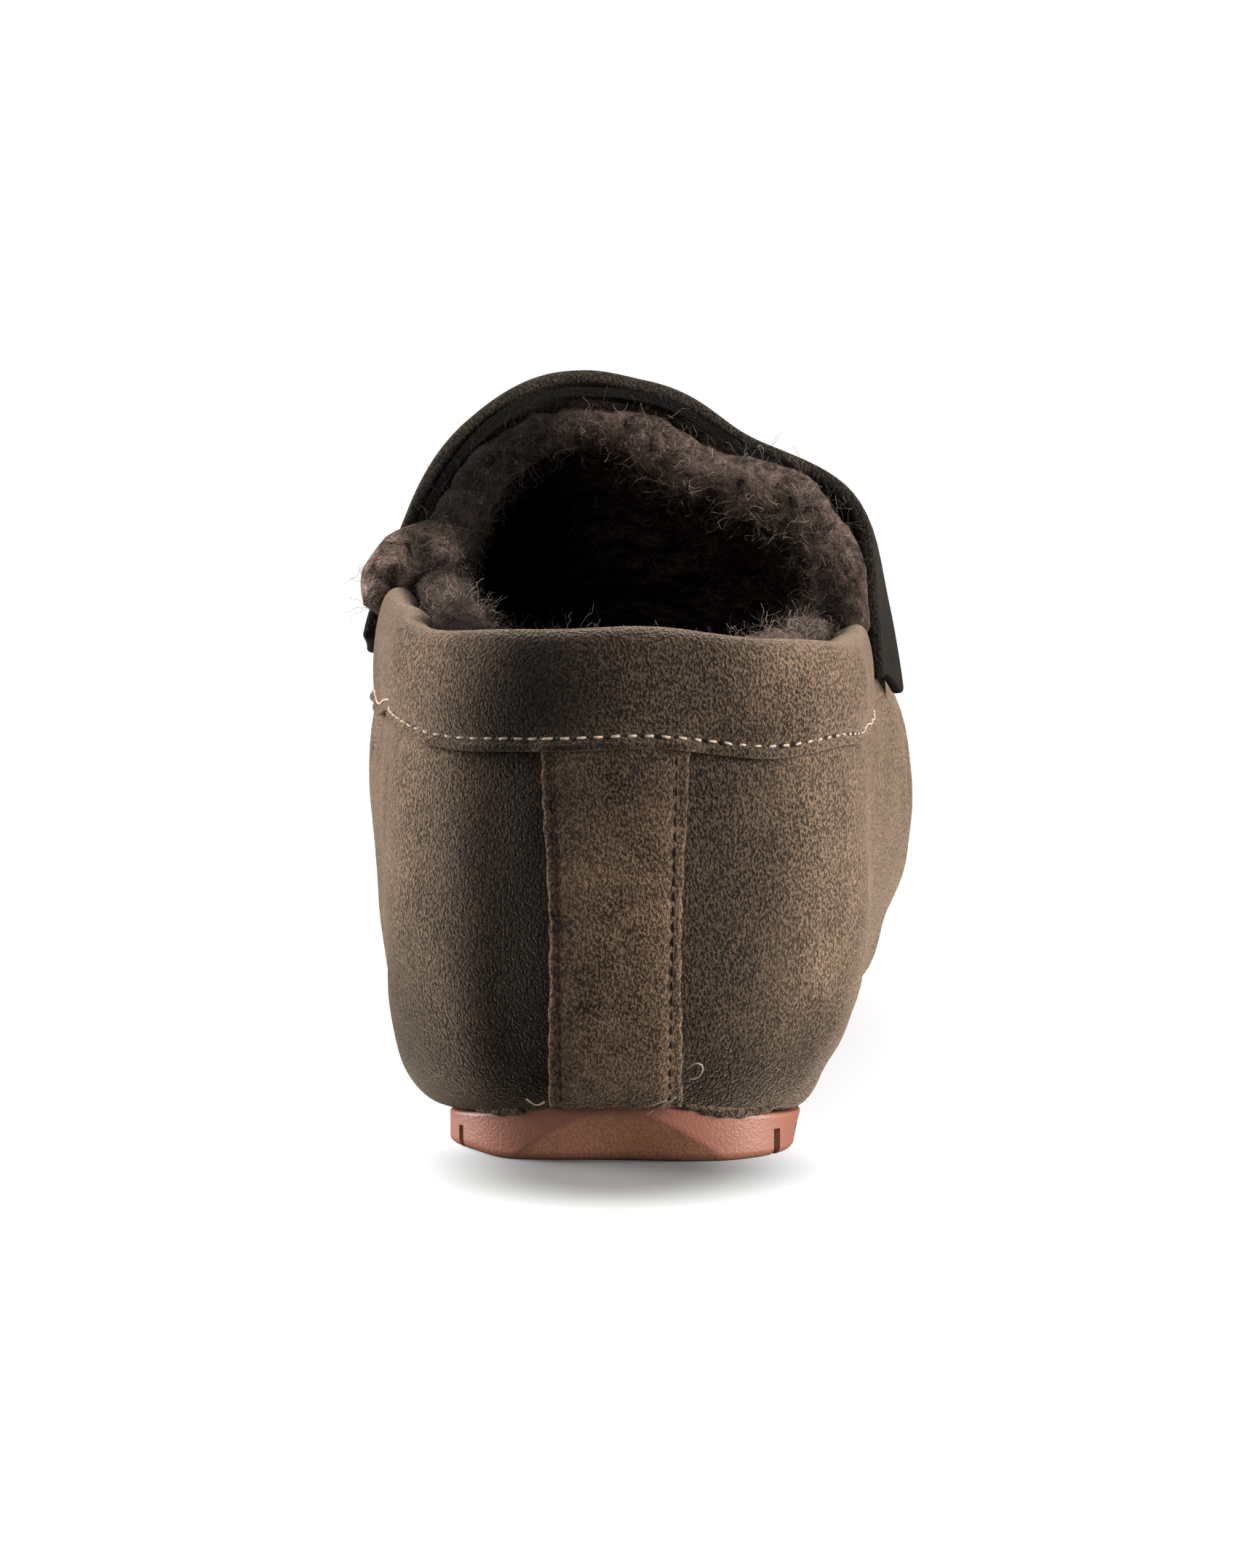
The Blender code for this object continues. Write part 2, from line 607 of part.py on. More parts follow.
build_object()
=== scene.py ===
import math

import bmesh
import bpy
import numpy as np
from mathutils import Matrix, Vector, noise


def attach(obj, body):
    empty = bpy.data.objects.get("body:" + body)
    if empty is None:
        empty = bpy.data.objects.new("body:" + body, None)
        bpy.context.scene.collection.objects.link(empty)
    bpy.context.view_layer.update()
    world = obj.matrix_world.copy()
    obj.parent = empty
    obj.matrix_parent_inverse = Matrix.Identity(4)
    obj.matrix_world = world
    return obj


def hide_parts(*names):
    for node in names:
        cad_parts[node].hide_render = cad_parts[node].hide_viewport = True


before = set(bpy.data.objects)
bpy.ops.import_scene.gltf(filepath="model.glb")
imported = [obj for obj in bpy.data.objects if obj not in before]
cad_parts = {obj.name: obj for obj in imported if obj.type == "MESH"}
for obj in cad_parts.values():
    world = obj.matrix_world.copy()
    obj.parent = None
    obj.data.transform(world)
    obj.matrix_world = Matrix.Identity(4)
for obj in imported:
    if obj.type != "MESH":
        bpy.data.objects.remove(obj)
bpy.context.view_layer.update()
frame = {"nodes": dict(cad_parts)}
print("frame loaded:", ", ".join(frame["nodes"]))

heelPoint = np.array([-0.0040093, -0.1439766, 0.0])  # the heel's back on the floor, in the frame

# The last, as in the part's source: millimetres from the heel's back and the floor
last = {
    "gap": 0.35,
    "heelY": 37.0,
    "toeY": 246.0,
    "heelArc": 37.0 * math.pi / 2,
    "toeArc": 43.0 * math.pi / 2,
    "crestShift": -7.0,
    "crestShiftY": 118.0,
    "wall": 8.0,
    "margin": 11.0,
    "marginWall": 3.0,
    "footInset": 0.7,
    "footRise": 0.02,
    "lowBend": 0.56,
    "lowBendFull": 0.32,
    "throatY": 106.0,
    "tongueY": 120.0,
    "archRise": 2.2,
    "archY": (72.0, 140.0),
    "toeSpring": 9.0,
    "toeSpringY": 222.0,
    "length": 290.0,
}
stations = [  # turn, y, sole
    (0, 37, 9.2),
    (45, 37, 7.2),
    (90, 37, 5.2),
    (90, 80, 4.8),
    (90, 118, 4.8),
    (90, 150, 4.8),
    (90, 180, 4.8),
    (90, 210, 4.8),
    (90, 246, 5.0),
    (135, 246, 5.4),
    (180, 246, 5.8),
]
sideColumns = ("foot", "wide", "wideZ", "low", "side", "top")
outerSide = [
    (29.0, 37.0, 36, 0.55, 0.50, 0.50),
    (32.5, 39.5, 37, 0.48, 0.50, 0.50),
    (28.0, 40.5, 38, 0.42, 0.52, 0.52),
    (32.5, 46.5, 42, 0.42, 0.62, 0.55),
    (37.5, 52.5, 49, 0.42, 0.83, 0.45),
    (44.5, 59.0, 43, 0.40, 0.65, 0.50),
    (49.5, 61.0, 40, 0.42, 0.59, 0.55),
    (47.0, 57.5, 38, 0.48, 0.57, 0.58),
    (38.5, 46.5, 34, 0.60, 0.58, 0.60),
    (36.5, 43.0, 31, 0.60, 0.58, 0.60),
    (37.0, 43.5, 30, 0.60, 0.58, 0.60),
]
innerSide = [
    (29.0, 37.0, 36, 0.55, 0.50, 0.50),
    (30.0, 38.5, 37, 0.70, 0.50, 0.50),
    (24.0, 36.6, 38, 0.80, 0.52, 0.52),
    (21.5, 36.3, 44, 0.75, 0.58, 0.52),
    (18.5, 34.5, 52, 0.65, 0.44, 0.64),
    (23.5, 36.5, 47, 0.60, 0.52, 0.54),
    (29.0, 38.4, 45, 0.58, 0.55, 0.55),
    (30.5, 38.8, 40, 0.58, 0.57, 0.58),
    (28.0, 36.0, 34, 0.60, 0.58, 0.60),
    (32.0, 39.0, 31, 0.60, 0.58, 0.60),
    (37.0, 43.5, 30, 0.60, 0.58, 0.60),
]
crest = [(37, 152), (80, 136), (118, 118), (150, 102.5), (180, 88.5), (210, 76), (246, 62)]  # y, height
topline = [  # turn, y, outer, inner
    (0, 37, 84.0, 84.0),
    (45, 37, 82.0, 83.4),
    (90, 37, 80.0, 83.2),
    (90, 80, 77.6, 83.4),
    (90, 106, 77.4, 84.0),
]
folds = [  # side, y, w, reach in y, reach in w, rise
    (1, 116, 0.33, 22, 0.12, 2.8),
    (1, 118, 0.58, 20, 0.16, -3.4),
]


def ease(value):
    value = np.clip(value, 0.0, 1.0)
    return value * value * (3.0 - 2.0 * value)


def smoothCurve(knots, values):  # natural cubic spline
    knots = np.asarray(knots, float)
    values = np.asarray(values, float)
    step = np.diff(knots)
    matrix = np.eye(len(knots))
    bend = np.zeros(len(knots))
    for i in range(1, len(knots) - 1):
        matrix[i, i - 1 : i + 2] = step[i - 1], 2 * (step[i - 1] + step[i]), step[i]
        bend[i] = 6 * ((values[i + 1] - values[i]) / step[i] - (values[i] - values[i - 1]) / step[i - 1])
    bend = np.linalg.solve(matrix, bend)

    def at(place):
        i = np.clip(np.searchsorted(knots, place) - 1, 0, len(knots) - 2)
        a = (knots[i + 1] - place) / step[i]
        b = (place - knots[i]) / step[i]
        curve = (a**3 - a) * bend[i] + (b**3 - b) * bend[i + 1]
        return a * values[i] + b * values[i + 1] + curve * step[i] ** 2 / 6

    return at


def along(turn, y):  # distance round the last from the heel's back
    heel = min(turn, 90) / 90 * last["heelArc"]
    toe = max(turn - 90, 0) / 90 * last["toeArc"]
    return heel + (y - last["heelY"]) + toe


throat = along(90, last["throatY"])
toeStart = along(90, last["toeY"])
roundToe = toeStart + last["toeArc"]
places = [along(turn, y) for turn, y, sole in stations]
roundPlaces = [-place for place in places[-2:0:-1]] + places


def bothSides(outer, inner):  # outer side above zero, inner side below, closed at the toe
    knots = np.asarray(roundPlaces, float)
    knots = np.concatenate([knots - 2 * roundToe, knots, knots + 2 * roundToe])
    return smoothCurve(knots, np.tile(inner[-2:0:-1] + outer, 3))


shape = {}
for number, name in enumerate(sideColumns):
    shape[name] = bothSides([row[number] for row in outerSide], [row[number] for row in innerSide])
soleRows = [sole for turn, y, sole in stations]
shape["sole"] = bothSides(soleRows, soleRows)
crestHeight = smoothCurve([row[0] for row in crest], [row[1] for row in crest])
toplinePlaces = [along(row[0], row[1]) for row in topline]
toplineHeight = smoothCurve(
    [-place for place in toplinePlaces[:0:-1]] + toplinePlaces,
    [row[3] for row in topline[:0:-1]] + [row[2] for row in topline],
)


def floorLine(y):
    first, end = last["archY"]
    arch = np.clip((y - first) / (end - first), 0.0, 1.0)
    toe = np.clip((y - last["toeSpringY"]) / (last["length"] - last["toeSpringY"]), 0.0, 1.0)
    return last["archRise"] * np.sin(math.pi * arch) ** 2 + last["toeSpring"] * toe**2


def plane(place):  # axis and outward way of the section at each place
    distance = np.abs(place)
    side = np.where(place < 0, -1.0, 1.0)
    heel = np.clip(distance / last["heelArc"], 0.0, 1.0)
    toe = np.clip((distance - toeStart) / last["toeArc"], 0.0, 1.0)
    turn = (heel + toe) * math.pi / 2
    y = np.clip(last["heelY"] + distance - last["heelArc"], last["heelY"], last["toeY"])
    x = last["crestShift"] * ease((y - last["heelY"]) / (last["crestShiftY"] - last["heelY"]))
    return x, y, side * np.sin(turn), -np.cos(turn)


def bezier(a, b, c, d, t):
    s = 1.0 - t
    point = a * s**3 + 3 * b * s * s * t + 3 * c * s * t * t + d * t**3
    slope = 3 * (s * s * (b - a) + 2 * s * t * (c - b) + t * t * (d - c))
    return point, slope


def lastForm(place, w, inset=0.0):  # w: -1 at the sole's edge, 0 at the widest place, 1 at the crest
    place, w, inset = np.broadcast_arrays(*[np.asarray(v, float) for v in (place, w, inset)])
    axisX, axisY, wayX, wayY = plane(place)
    foot = shape["foot"](place)
    wide = shape["wide"](place) - inset
    wideZ = shape["wideZ"](place)
    top = crestHeight(axisY) - inset
    footZ = floorLine(axisY + wayY * foot) + shape["sole"](place) + last["marginWall"] * inset / last["wall"]
    foot = foot - last["footInset"] * inset
    low = np.clip(w + 1.0, 0.0, 1.0)
    rise = wideZ - footZ
    full = shape["low"](place)
    bendZ = footZ + (last["lowBend"] - last["lowBendFull"] * full) * rise
    lowR, lowDr = bezier(foot, foot + full * (wide - foot), wide, wide, low)
    lowZ, lowDz = bezier(footZ, footZ + last["footRise"] * rise, bendZ, wideZ, low)
    high = np.clip(w, 0.0, 1.0)
    toeSlope = (crestHeight(last["toeY"]) - crestHeight(last["toeY"] - 1.0)) * np.clip(wayY, 0.0, 1.0)
    shoulder = wideZ + shape["side"](place) * (top - wideZ)
    nearCrest = shape["top"](place) * wide
    highR, highDr = bezier(wide, wide, nearCrest, 0.0 * wide, high)
    highZ, highDz = bezier(wideZ, shoulder, top + toeSlope * nearCrest, top, high)
    above = w > 0
    reach = np.where(above, highR, lowR)
    height = np.where(above, highZ, lowZ)
    outR = np.where(above, highDz, lowDz)
    outZ = -np.where(above, highDr, lowDr)
    size = np.hypot(outR, outZ) + 1e-9
    for side, y, foldW, reachY, reachW, foldRise in folds:
        near = ((axisY - y) / reachY) ** 2 + ((w - foldW) / reachW) ** 2
        lift = foldRise * np.exp(-near) * ease((1.0 - w) / reachW)
        lift = np.where(np.sign(place) == side, lift, 0.0)
        reach = reach + lift * outR / size
        height = height + lift * outZ / size
    reach = reach - last["margin"] * np.clip(-1.0 - w, 0.0, 1.0)
    return np.stack([axisX + wayX * reach, axisY + wayY * reach, height], axis=-1)


def outward(place, w):
    place, w = np.broadcast_arrays(np.asarray(place, float), np.asarray(w, float))
    below = lastForm(place, w - 0.01)
    across = lastForm(place + 0.25, w) - lastForm(place - 0.25, w)
    normal = np.cross(across, lastForm(place, w) - below)
    return normal / np.linalg.norm(normal, axis=-1, keepdims=True)


def raised(place, w, lift):
    place, w, lift = np.broadcast_arrays(*[np.asarray(v, float) for v in (place, w, lift)])
    return lastForm(place, w) + outward(place, w) * lift[..., None]


def heightToW(place, height):
    place, height = np.broadcast_arrays(np.asarray(place, float), np.asarray(height, float))
    steps = np.linspace(-1.0, 1.0, 161)
    single, index = np.unique(place.ravel(), return_inverse=True)
    rises = np.maximum.accumulate(lastForm(single[:, None], steps)[..., 2], axis=1)
    found = [np.interp(wanted, rises[k], steps) for k, wanted in zip(index.ravel(), height.ravel())]
    return np.reshape(found, place.shape)


throatW = {}
for side in (1, -1):
    throatW[side] = float(heightToW(np.array([side * throat]), toplineHeight(side * throat))[0])


def tongueEdgeY(side, w):
    rise = np.clip((w - throatW[side]) / (1.0 - throatW[side]), 0.0, 1.0)
    return last["throatY"] + (last["tongueY"] - last["throatY"]) * np.sin(rise * math.pi / 2)


# Small tools for meshes and nodes


def toFrame(points):
    return np.asarray(points) * 0.001 + heelPoint


def hexColour(code):  # sRGB hex to linear
    parts = [int(code[i : i + 2], 16) / 255 for i in (0, 2, 4)]
    return (*[c / 12.92 if c <= 0.04045 else ((c + 0.055) / 1.055) ** 2.4 for c in parts], 1.0)


def setInputs(tree, node, inputs):  # links a socket, and sets anything else as a plain value
    for name, value in inputs.items():
        if isinstance(value, bpy.types.NodeSocket):
            tree.links.new(value, node.inputs[name])
        else:
            node.inputs[name].default_value = value


def addNode(tree, kind, inputs=None, **settings):
    node = tree.nodes.new(kind)
    for name, value in settings.items():
        setattr(node, name, value)
    setInputs(tree, node, inputs or {})
    return node


def maths(tree, operation, *values):
    return addNode(tree, "ShaderNodeMath", dict(enumerate(values)), operation=operation).outputs[0]


def vectorMaths(tree, operation, *vectors):
    return addNode(tree, "ShaderNodeVectorMath", dict(enumerate(vectors)), operation=operation).outputs[0]


def scaled(tree, vector, amount):
    return addNode(tree, "ShaderNodeVectorMath", {0: vector, "Scale": amount}, operation="SCALE").outputs[0]


def mapped(tree, value, low, high, toLow, toHigh, **settings):  # from one range of values to another
    inputs = {0: value, 1: low, 2: high, 3: toLow, 4: toHigh}
    return addNode(tree, "ShaderNodeMapRange", inputs, **settings).outputs[0]


def gridFaces(rows, columns, closed=False):
    i, j = np.meshgrid(np.arange(rows - 1), np.arange(columns if closed else columns - 1), indexing="ij")
    k = (j + 1) % columns
    row = i * columns
    after = row + columns
    faces = np.stack([row + j, row + k, after + k, after + j], axis=-1)
    return [tuple(face) for face in faces.reshape(-1, 4).tolist()]


def newMesh(name, points, faces, centre=None, values=None):  # points in mm; faces away from any centre given
    mesh = bpy.data.meshes.new(name)
    mesh.from_pydata(toFrame(points).tolist(), [], faces)
    for label, numbers in (values or {}).items():
        addValues(mesh, label, np.ravel(numbers))
    work = bmesh.new()
    work.from_mesh(mesh)
    bmesh.ops.remove_doubles(work, verts=work.verts, dist=3e-6)
    bmesh.ops.dissolve_degenerate(work, edges=work.edges, dist=1e-7)
    bmesh.ops.recalc_face_normals(work, faces=work.faces)
    if centre is not None:
        middle = Vector(toFrame(centre))
        facing = 0.0
        for face in work.faces:
            facing += face.normal.dot(face.calc_center_median() - middle) * face.calc_area()
        if facing < 0:
            bmesh.ops.reverse_faces(work, faces=work.faces)
    work.to_mesh(mesh)
    work.free()
    mesh.shade_smooth()
    return mesh


def meshPoints(mesh):  # millimetres on the last
    found = np.empty(len(mesh.vertices) * 3, np.float32)
    mesh.vertices.foreach_get("co", found)
    return (found.reshape(-1, 3).astype(float) - heelPoint) * 1000


def meshNormals(mesh):
    found = np.empty(len(mesh.vertices) * 3, np.float32)
    mesh.vertex_normals.foreach_get("vector", found)
    return found.reshape(-1, 3).astype(float)


def movePoints(mesh, points):
    mesh.vertices.foreach_set("co", toFrame(points).astype(np.float32).ravel())
    mesh.update()


def addValues(mesh, name, values):
    layer = mesh.attributes.new(name, "FLOAT", "POINT")
    layer.data.foreach_set("value", np.asarray(values, np.float32))


def takeValues(mesh, name):
    found = np.empty(len(mesh.vertices), np.float32)
    mesh.attributes[name].data.foreach_get("value", found)
    mesh.attributes.remove(mesh.attributes[name])
    return found.astype(float)


def newObject(name, mesh):
    obj = bpy.data.objects.new(name, mesh)
    bpy.context.scene.collection.objects.link(obj)
    return obj


def settle(obj, sharp=None):  # bakes an object's modifiers into its mesh
    bpy.context.view_layer.update()
    graph = bpy.context.evaluated_depsgraph_get()
    mesh = bpy.data.meshes.new_from_object(obj.evaluated_get(graph), depsgraph=graph)
    obj.modifiers.clear()
    obj.data = mesh
    mesh.name = obj.name
    mesh.shade_smooth()
    if sharp:
        mesh.set_sharp_from_angle(angle=math.radians(sharp))
    return obj


def thicken(obj, thick, material=0):  # inwards; material numbers the one of the inside and the rim
    skin = obj.modifiers.new("thickness", "SOLIDIFY")
    skin.thickness = thick * 0.001
    skin.offset = -1.0
    skin.material_offset = material
    skin.material_offset_rim = material


def finishPiece(obj, material, slot, *nodes):
    if material:
        obj.data.materials.clear()
        obj.data.materials.append(material)
    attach(obj, "root")
    if nodes:
        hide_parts(*nodes)
    print(obj.name, len(obj.data.polygons), "faces")
    return obj


def lumpNoise(points, size, seed):  # smooth noise from -1 to 1, with lumps of this size in mm
    shift = Vector((seed * 7.31, seed * 3.17, seed * 5.93))
    spots = [Vector(point) / size + shift for point in points]
    return np.array([noise.fractal(spot, 0.8, 2.0, 2, noise_basis="PERLIN_ORIGINAL") for spot in spots])


def slab(outside, inside):  # closed sheet between two grids
    rows, columns = outside.shape[:2]
    count = rows * columns
    points = np.concatenate([outside.reshape(-1, 3), inside.reshape(-1, 3)])
    faces = gridFaces(rows, columns)
    faces += [tuple(count + i for i in face[::-1]) for face in gridFaces(rows, columns)]
    left = [i * columns for i in range(rows)]
    border = list(range(columns)) + [i + columns - 1 for i in left[1:]]
    border += list(range(count - 2, count - columns - 1, -1)) + left[-2:0:-1]
    for a, b in zip(border, border[1:] + border[:1]):
        faces.append((b, a, count + a, count + b))
    return points, faces


def tubeFaces(rings, sides):  # closed at both ends
    ends = [tuple(range(sides)), tuple(range((rings - 1) * sides, rings * sides))]
    return gridFaces(rings, sides, True) + ends


def tube(path, radius, sides):
    path = np.asarray(path, float)
    radius = np.broadcast_to(np.asarray(radius, float), len(path))
    tangent = np.gradient(path, axis=0)
    tangent /= np.linalg.norm(tangent, axis=1, keepdims=True)
    side = np.cross(tangent, (0.31, 0.23, 0.92))
    # Carried on from ring to ring, so that the tube never twists
    for k in range(1, len(path)):
        side[k] = side[k - 1] - tangent[k] * (side[k - 1] @ tangent[k])
        side[k] *= np.linalg.norm(side[k - 1]) / np.linalg.norm(side[k])
    side /= np.linalg.norm(side, axis=1, keepdims=True)
    over = np.cross(tangent, side)
    angle = np.linspace(0, 2 * math.pi, sides, endpoint=False)
    ring = side[:, None] * np.cos(angle)[:, None] + over[:, None] * np.sin(angle)[:, None]
    points = path[:, None] + ring * radius[:, None, None]
    return points.reshape(-1, 3), tubeFaces(len(path), sides)


# Materials


def newMaterial(name):
    material = bpy.data.materials.new(name)
    material.use_nodes = True
    return material, material.node_tree, material.node_tree.nodes["Principled BSDF"]


def objectPlace(tree):
    return addNode(tree, "ShaderNodeTexCoord").outputs["Object"]


def attribute(tree, name):
    return addNode(tree, "ShaderNodeAttribute", attribute_name=name).outputs["Fac"]


def grainNoise(tree, where, size, detail=2.0, roughness=0.5, distortion=0.0):  # size in metres
    inputs = {"Vector": where, "Scale": 1 / size, "Detail": detail}
    inputs.update({"Roughness": roughness, "Distortion": distortion})
    return addNode(tree, "ShaderNodeTexNoise", inputs).outputs[0]


def blend(tree, share, first, second):
    return addNode(tree, "ShaderNodeMix", {0: share, 6: first, 7: second}, data_type="RGBA").outputs[2]


# Scales a colour by the painted light and shade held in the piece's shade values
def dimmed(tree, colour, low, bright, dark):  # from bright at the lowest shade value to dark at 1
    return scaled(tree, colour, mapped(tree, attribute(tree, "shade"), low, 1.0, bright, dark))


def bumps(tree, height, strength, distance):
    inputs = {"Height": height, "Strength": strength, "Distance": distance}
    return addNode(tree, "ShaderNodeBump", inputs).outputs[0]


def suedeMaterial(name, look):
    # Suede, split and buffed: a dry velvet of short fibres. It has no gloss, its nap is mottled light and
    # dark, and it turns paler where the light grazes it.
    material, tree, skin = newMaterial(name)
    where = objectPlace(tree)
    nap = addNode(tree, "ShaderNodeMapping", {"Vector": where, "Scale": look["stretch"]}).outputs[0]
    # Real fibres are about 0.1 mm: the grain is drawn at 0.4 mm so that it shows in the render
    grain = grainNoise(tree, nap, look["grain"], 2.0, 0.65)
    patch = grainNoise(tree, where, look["patch"], 3.0, 0.55)
    speck = mapped(tree, grain, 0.42, 0.63, 0.0, look["speck"])
    cloud = mapped(tree, patch, 0.3, 0.7, 0.0, 1.0 - look["speck"])
    mottle = maths(tree, "ADD", speck, cloud)
    colour = blend(tree, mottle, hexColour(look["dark"]), hexColour(look["light"]))
    finish = {
        "Base Color": dimmed(tree, colour, -1.0, 1.92, 0.08),
        "Normal": bumps(tree, grain, 1.0, look["relief"]),
        "Roughness": 0.96,
        "Specular IOR Level": 0.12,
        "Sheen Weight": look["sheen"],
        "Sheen Roughness": 0.3,
        "Sheen Tint": hexColour("d6bfa8"),
    }
    setInputs(tree, skin, finish)
    return material


suedeLook = {
    "dark": "140e09",
    "light": "8a725d",
    "grain": 0.00042,
    "patch": 0.011,
    "stretch": (1.0, 1.0, 0.75),
    "speck": 0.78,
    "relief": 0.0009,
    "sheen": 0.66,
}
upperSuede = suedeMaterial("brown suede", suedeLook)
bandSuede = suedeMaterial("collar suede", {**suedeLook, "light": "866e5a", "patch": 0.014})
backstaySuede = suedeMaterial(
    "heel strip suede", {**suedeLook, "dark": "1a140e", "light": "7d6551", "patch": 0.006, "speck": 0.66}
)
# The suede's inside and cut edge, made dark as painted shade
insideShadeSuede = suedeMaterial(
    "suede inside in painted shade", {**suedeLook, "dark": "0c0a08", "light": "4c463e", "sheen": 0.05, "patch": 0.005}
)
strapSuede = suedeMaterial(
    "strap suede", {**suedeLook, "dark": "0e0c09", "light": "342d26", "sheen": 0.06, "patch": 0.008}
)


def woolMaterial(name, look):
    # Dyed sheep's wool: curly fibres in soft locks, nearly black between them as painted shade where the
    # pile is low, and mauve grey at the tips
    material, tree, skin = newMaterial(name)
    where = objectPlace(tree)
    lock = grainNoise(tree, where, look["lock"], 3.0, distortion=1.2)
    curl = grainNoise(tree, where, look["curl"], 3.0, distortion=2.5)
    pile = maths(tree, "MULTIPLY_ADD", curl, 0.6, lock)
    tone = mapped(tree, pile, 0.57, 1.06, 0.0, 1.0)
    colour = blend(tree, tone, hexColour(look["root"]), hexColour(look["tip"]))
    finish = {
        "Base Color": dimmed(tree, colour, -1.0, 1.9, 0.1),
        "Normal": bumps(tree, pile, 1.0, look["relief"]),
        "Roughness": 1.0,
        "Specular IOR Level": 0.05,
        "Sheen Weight": 0.03,
        "Sheen Roughness": 0.6,
        "Sheen Tint": hexColour("b8a69c"),
    }
    setInputs(tree, skin, finish)
    return material


woolLook = {"root": "14100e", "tip": "6c5a50", "lock": 0.004, "curl": 0.0011, "relief": 0.0014}
woolPile = woolMaterial("brown wool pile", woolLook)


def fibreMaterial(name, look):
    # Single wool fibres: dark at the root and pale at the tip, with hardly any gloss
    material, tree, skin = newMaterial(name)
    pale = maths(tree, "MULTIPLY", attribute(tree, "reach"), attribute(tree, "tint"))
    colour = blend(tree, pale, hexColour(look["root"]), hexColour(look["tip"]))
    finish = {
        "Base Color": dimmed(tree, colour, 0.0, 1.0, 0.12),
        "Roughness": 0.8,
        "Specular IOR Level": 0.08,
    }
    setInputs(tree, skin, finish)
    return material


woolFibre = fibreMaterial("brown wool fibre", {"root": "1a1412", "tip": "b8a392"})
fuzzFibre = fibreMaterial("suede fuzz", {"root": "2f261e", "tip": "8f7c68"})
threadLook = {"ply": 0.0004, "dark": 0.55, "light": 1.35, "relief": 0.0002}


def threadMaterial(name, code):
    # Waxed sewing thread: smooth, with a soft shine
    material, tree, skin = newMaterial(name)
    ply = grainNoise(tree, objectPlace(tree), threadLook["ply"])
    tones = []
    for share in (threadLook["dark"], threadLook["light"]):
        tones.append((*[min(1.0, share * part) for part in hexColour(code)[:3]], 1.0))
    finish = {
        "Base Color": blend(tree, ply, *tones),
        "Normal": bumps(tree, ply, 0.5, threadLook["relief"]),
        "Roughness": 0.7,
        "Specular IOR Level": 0.2,
    }
    setInputs(tree, skin, finish)
    return material


ecruThread = threadMaterial("ecru thread", "9c8977")
brownThread = threadMaterial("dark brown thread", "1f1812")


def rubberMaterial(name, look):
    # Gum rubber, moulded: satin, warm and opaque, with a fine sandy grain. The scooped facet was left
    # browner.
    material, tree, skin = newMaterial(name)
    where = objectPlace(tree)
    sand = grainNoise(tree, where, look["sand"], 2.0, 0.6)
    stain = grainNoise(tree, where, look["stain"])
    plain = blend(tree, stain, hexColour(look["deep"]), hexColour(look["pale"]))
    scooped = blend(tree, sand, hexColour(look["facetDark"]), hexColour(look["facetLight"]))
    finish = {
        "Base Color": blend(tree, attribute(tree, "facet"), plain, scooped),
        "Normal": bumps(tree, sand, 0.5, look["relief"]),
        "Roughness": 0.46,
        "Specular IOR Level": 0.38,
    }
    setInputs(tree, skin, finish)
    return material


rubberLook = {
    "deep": "744737",
    "pale": "865544",
    "facetDark": "573526",
    "facetLight": "ac7559",
    "sand": 0.00045,
    "stain": 0.009,
    "relief": 0.0002,
}
gumRubber = rubberMaterial("gum rubber", rubberLook)
print("materials made")

shoeMiddle = (0, 120, 45)  # a point inside the shoe

# Upper: one suede skin from the sole to the collar and the tongue's edge
upperPiece = {
    "steps": {"heel": 42, "collar": 34, "tongue": 36, "vamp": 62, "toe": 34},
    "lower": 24,
    "upper": 34,
    "thick": 1.7,
    "drop": 3.0,  # the collar band folds over this much of the skin's edge
    "fade": 12.0,
}
# Soft troughs and ridges: place and height of both ends, bow in height, width and rise
creases = [
    (-20, 62, -17, 20, 0, 6.5, -0.9),
    (-44, 60, -40, 22, 0, 8.0, 0.5),
    (96, 66, 84, 30, 0, 5.0, -0.9),
    (110, 64, 101, 30, 0, 5.5, 0.8),
    (121, 58, 116, 26, 0, 4.5, -0.8),
    (70, 60, 64, 24, 0, 6.0, 0.5),
    (140, 60, 168, 44, 3, 6.0, -0.8),
    (-134, 66, -162, 46, 3, 6.0, -0.7),
    (-104, 70, -98, 36, 0, 6.0, -0.6),
    (186, 40, 178, 74, 0, 5.0, -0.9),
    (196, 38, 190, 72, 0, 5.0, 0.5),
    (-182, 44, -176, 74, 0, 5.0, -0.8),
    (-194, 42, -188, 70, 0, 5.0, 0.5),
    (152, 18, 222, 18, 0, 7.0, -1.5),
    (42, 11, 66, 11, 0, 4.0, -0.9),
]
# Painted shade: dark at the heel's back and pale at the sides, by turn in degrees and depth of shade
paintedShadeTurn = [-180, -58, -44, -32, -22, -12, 4, 24, 40, 54, 180]
paintedShadeDepth = [0.1, 0.08, 0.55, 0.92, 1.0, 0.92, 0.72, 0.76, 0.6, 0.08, 0.0]
# Painted shade at darker spots: place, height, reach and depth
paintedShadeSpots = [
    (-15.5, 40, 9, 0.9),
    (-16.5, 22, 9, 0.65),
    (-15, 58, 9, 0.85),
    (-28, 12, 8, 0.5),
    (-40, 14, 20, 0.95),
    (12.5, 16, 6, 0.6),
    (34, 13, 14, 0.85),
]
# Painted highlights at paler spots, the same way
paintedHighlightSpots = [
    (63, 40, 5, 0.55),
    (66, 30, 5, 0.5),
    (62, 52, 5, 0.45),
    (72, 46, 6, 0.4),
    (46, 40, 4, 0.4),
    (36, 28, 4, 0.3),
]


def paintedTurnShade(points):
    # Painted shade by the turn round the heel
    turn = np.degrees(np.arctan2(points[:, 0], np.maximum(last["heelY"] - points[:, 1], 0.0)))
    # Painted shade, darker towards the bottom at the heel
    foot = 0.2 * ease((24.0 - points[:, 2]) / 14.0) * ease((60.0 - points[:, 1]) / 30.0)
    return np.minimum(1.0, np.interp(turn, paintedShadeTurn, paintedShadeDepth) + foot)


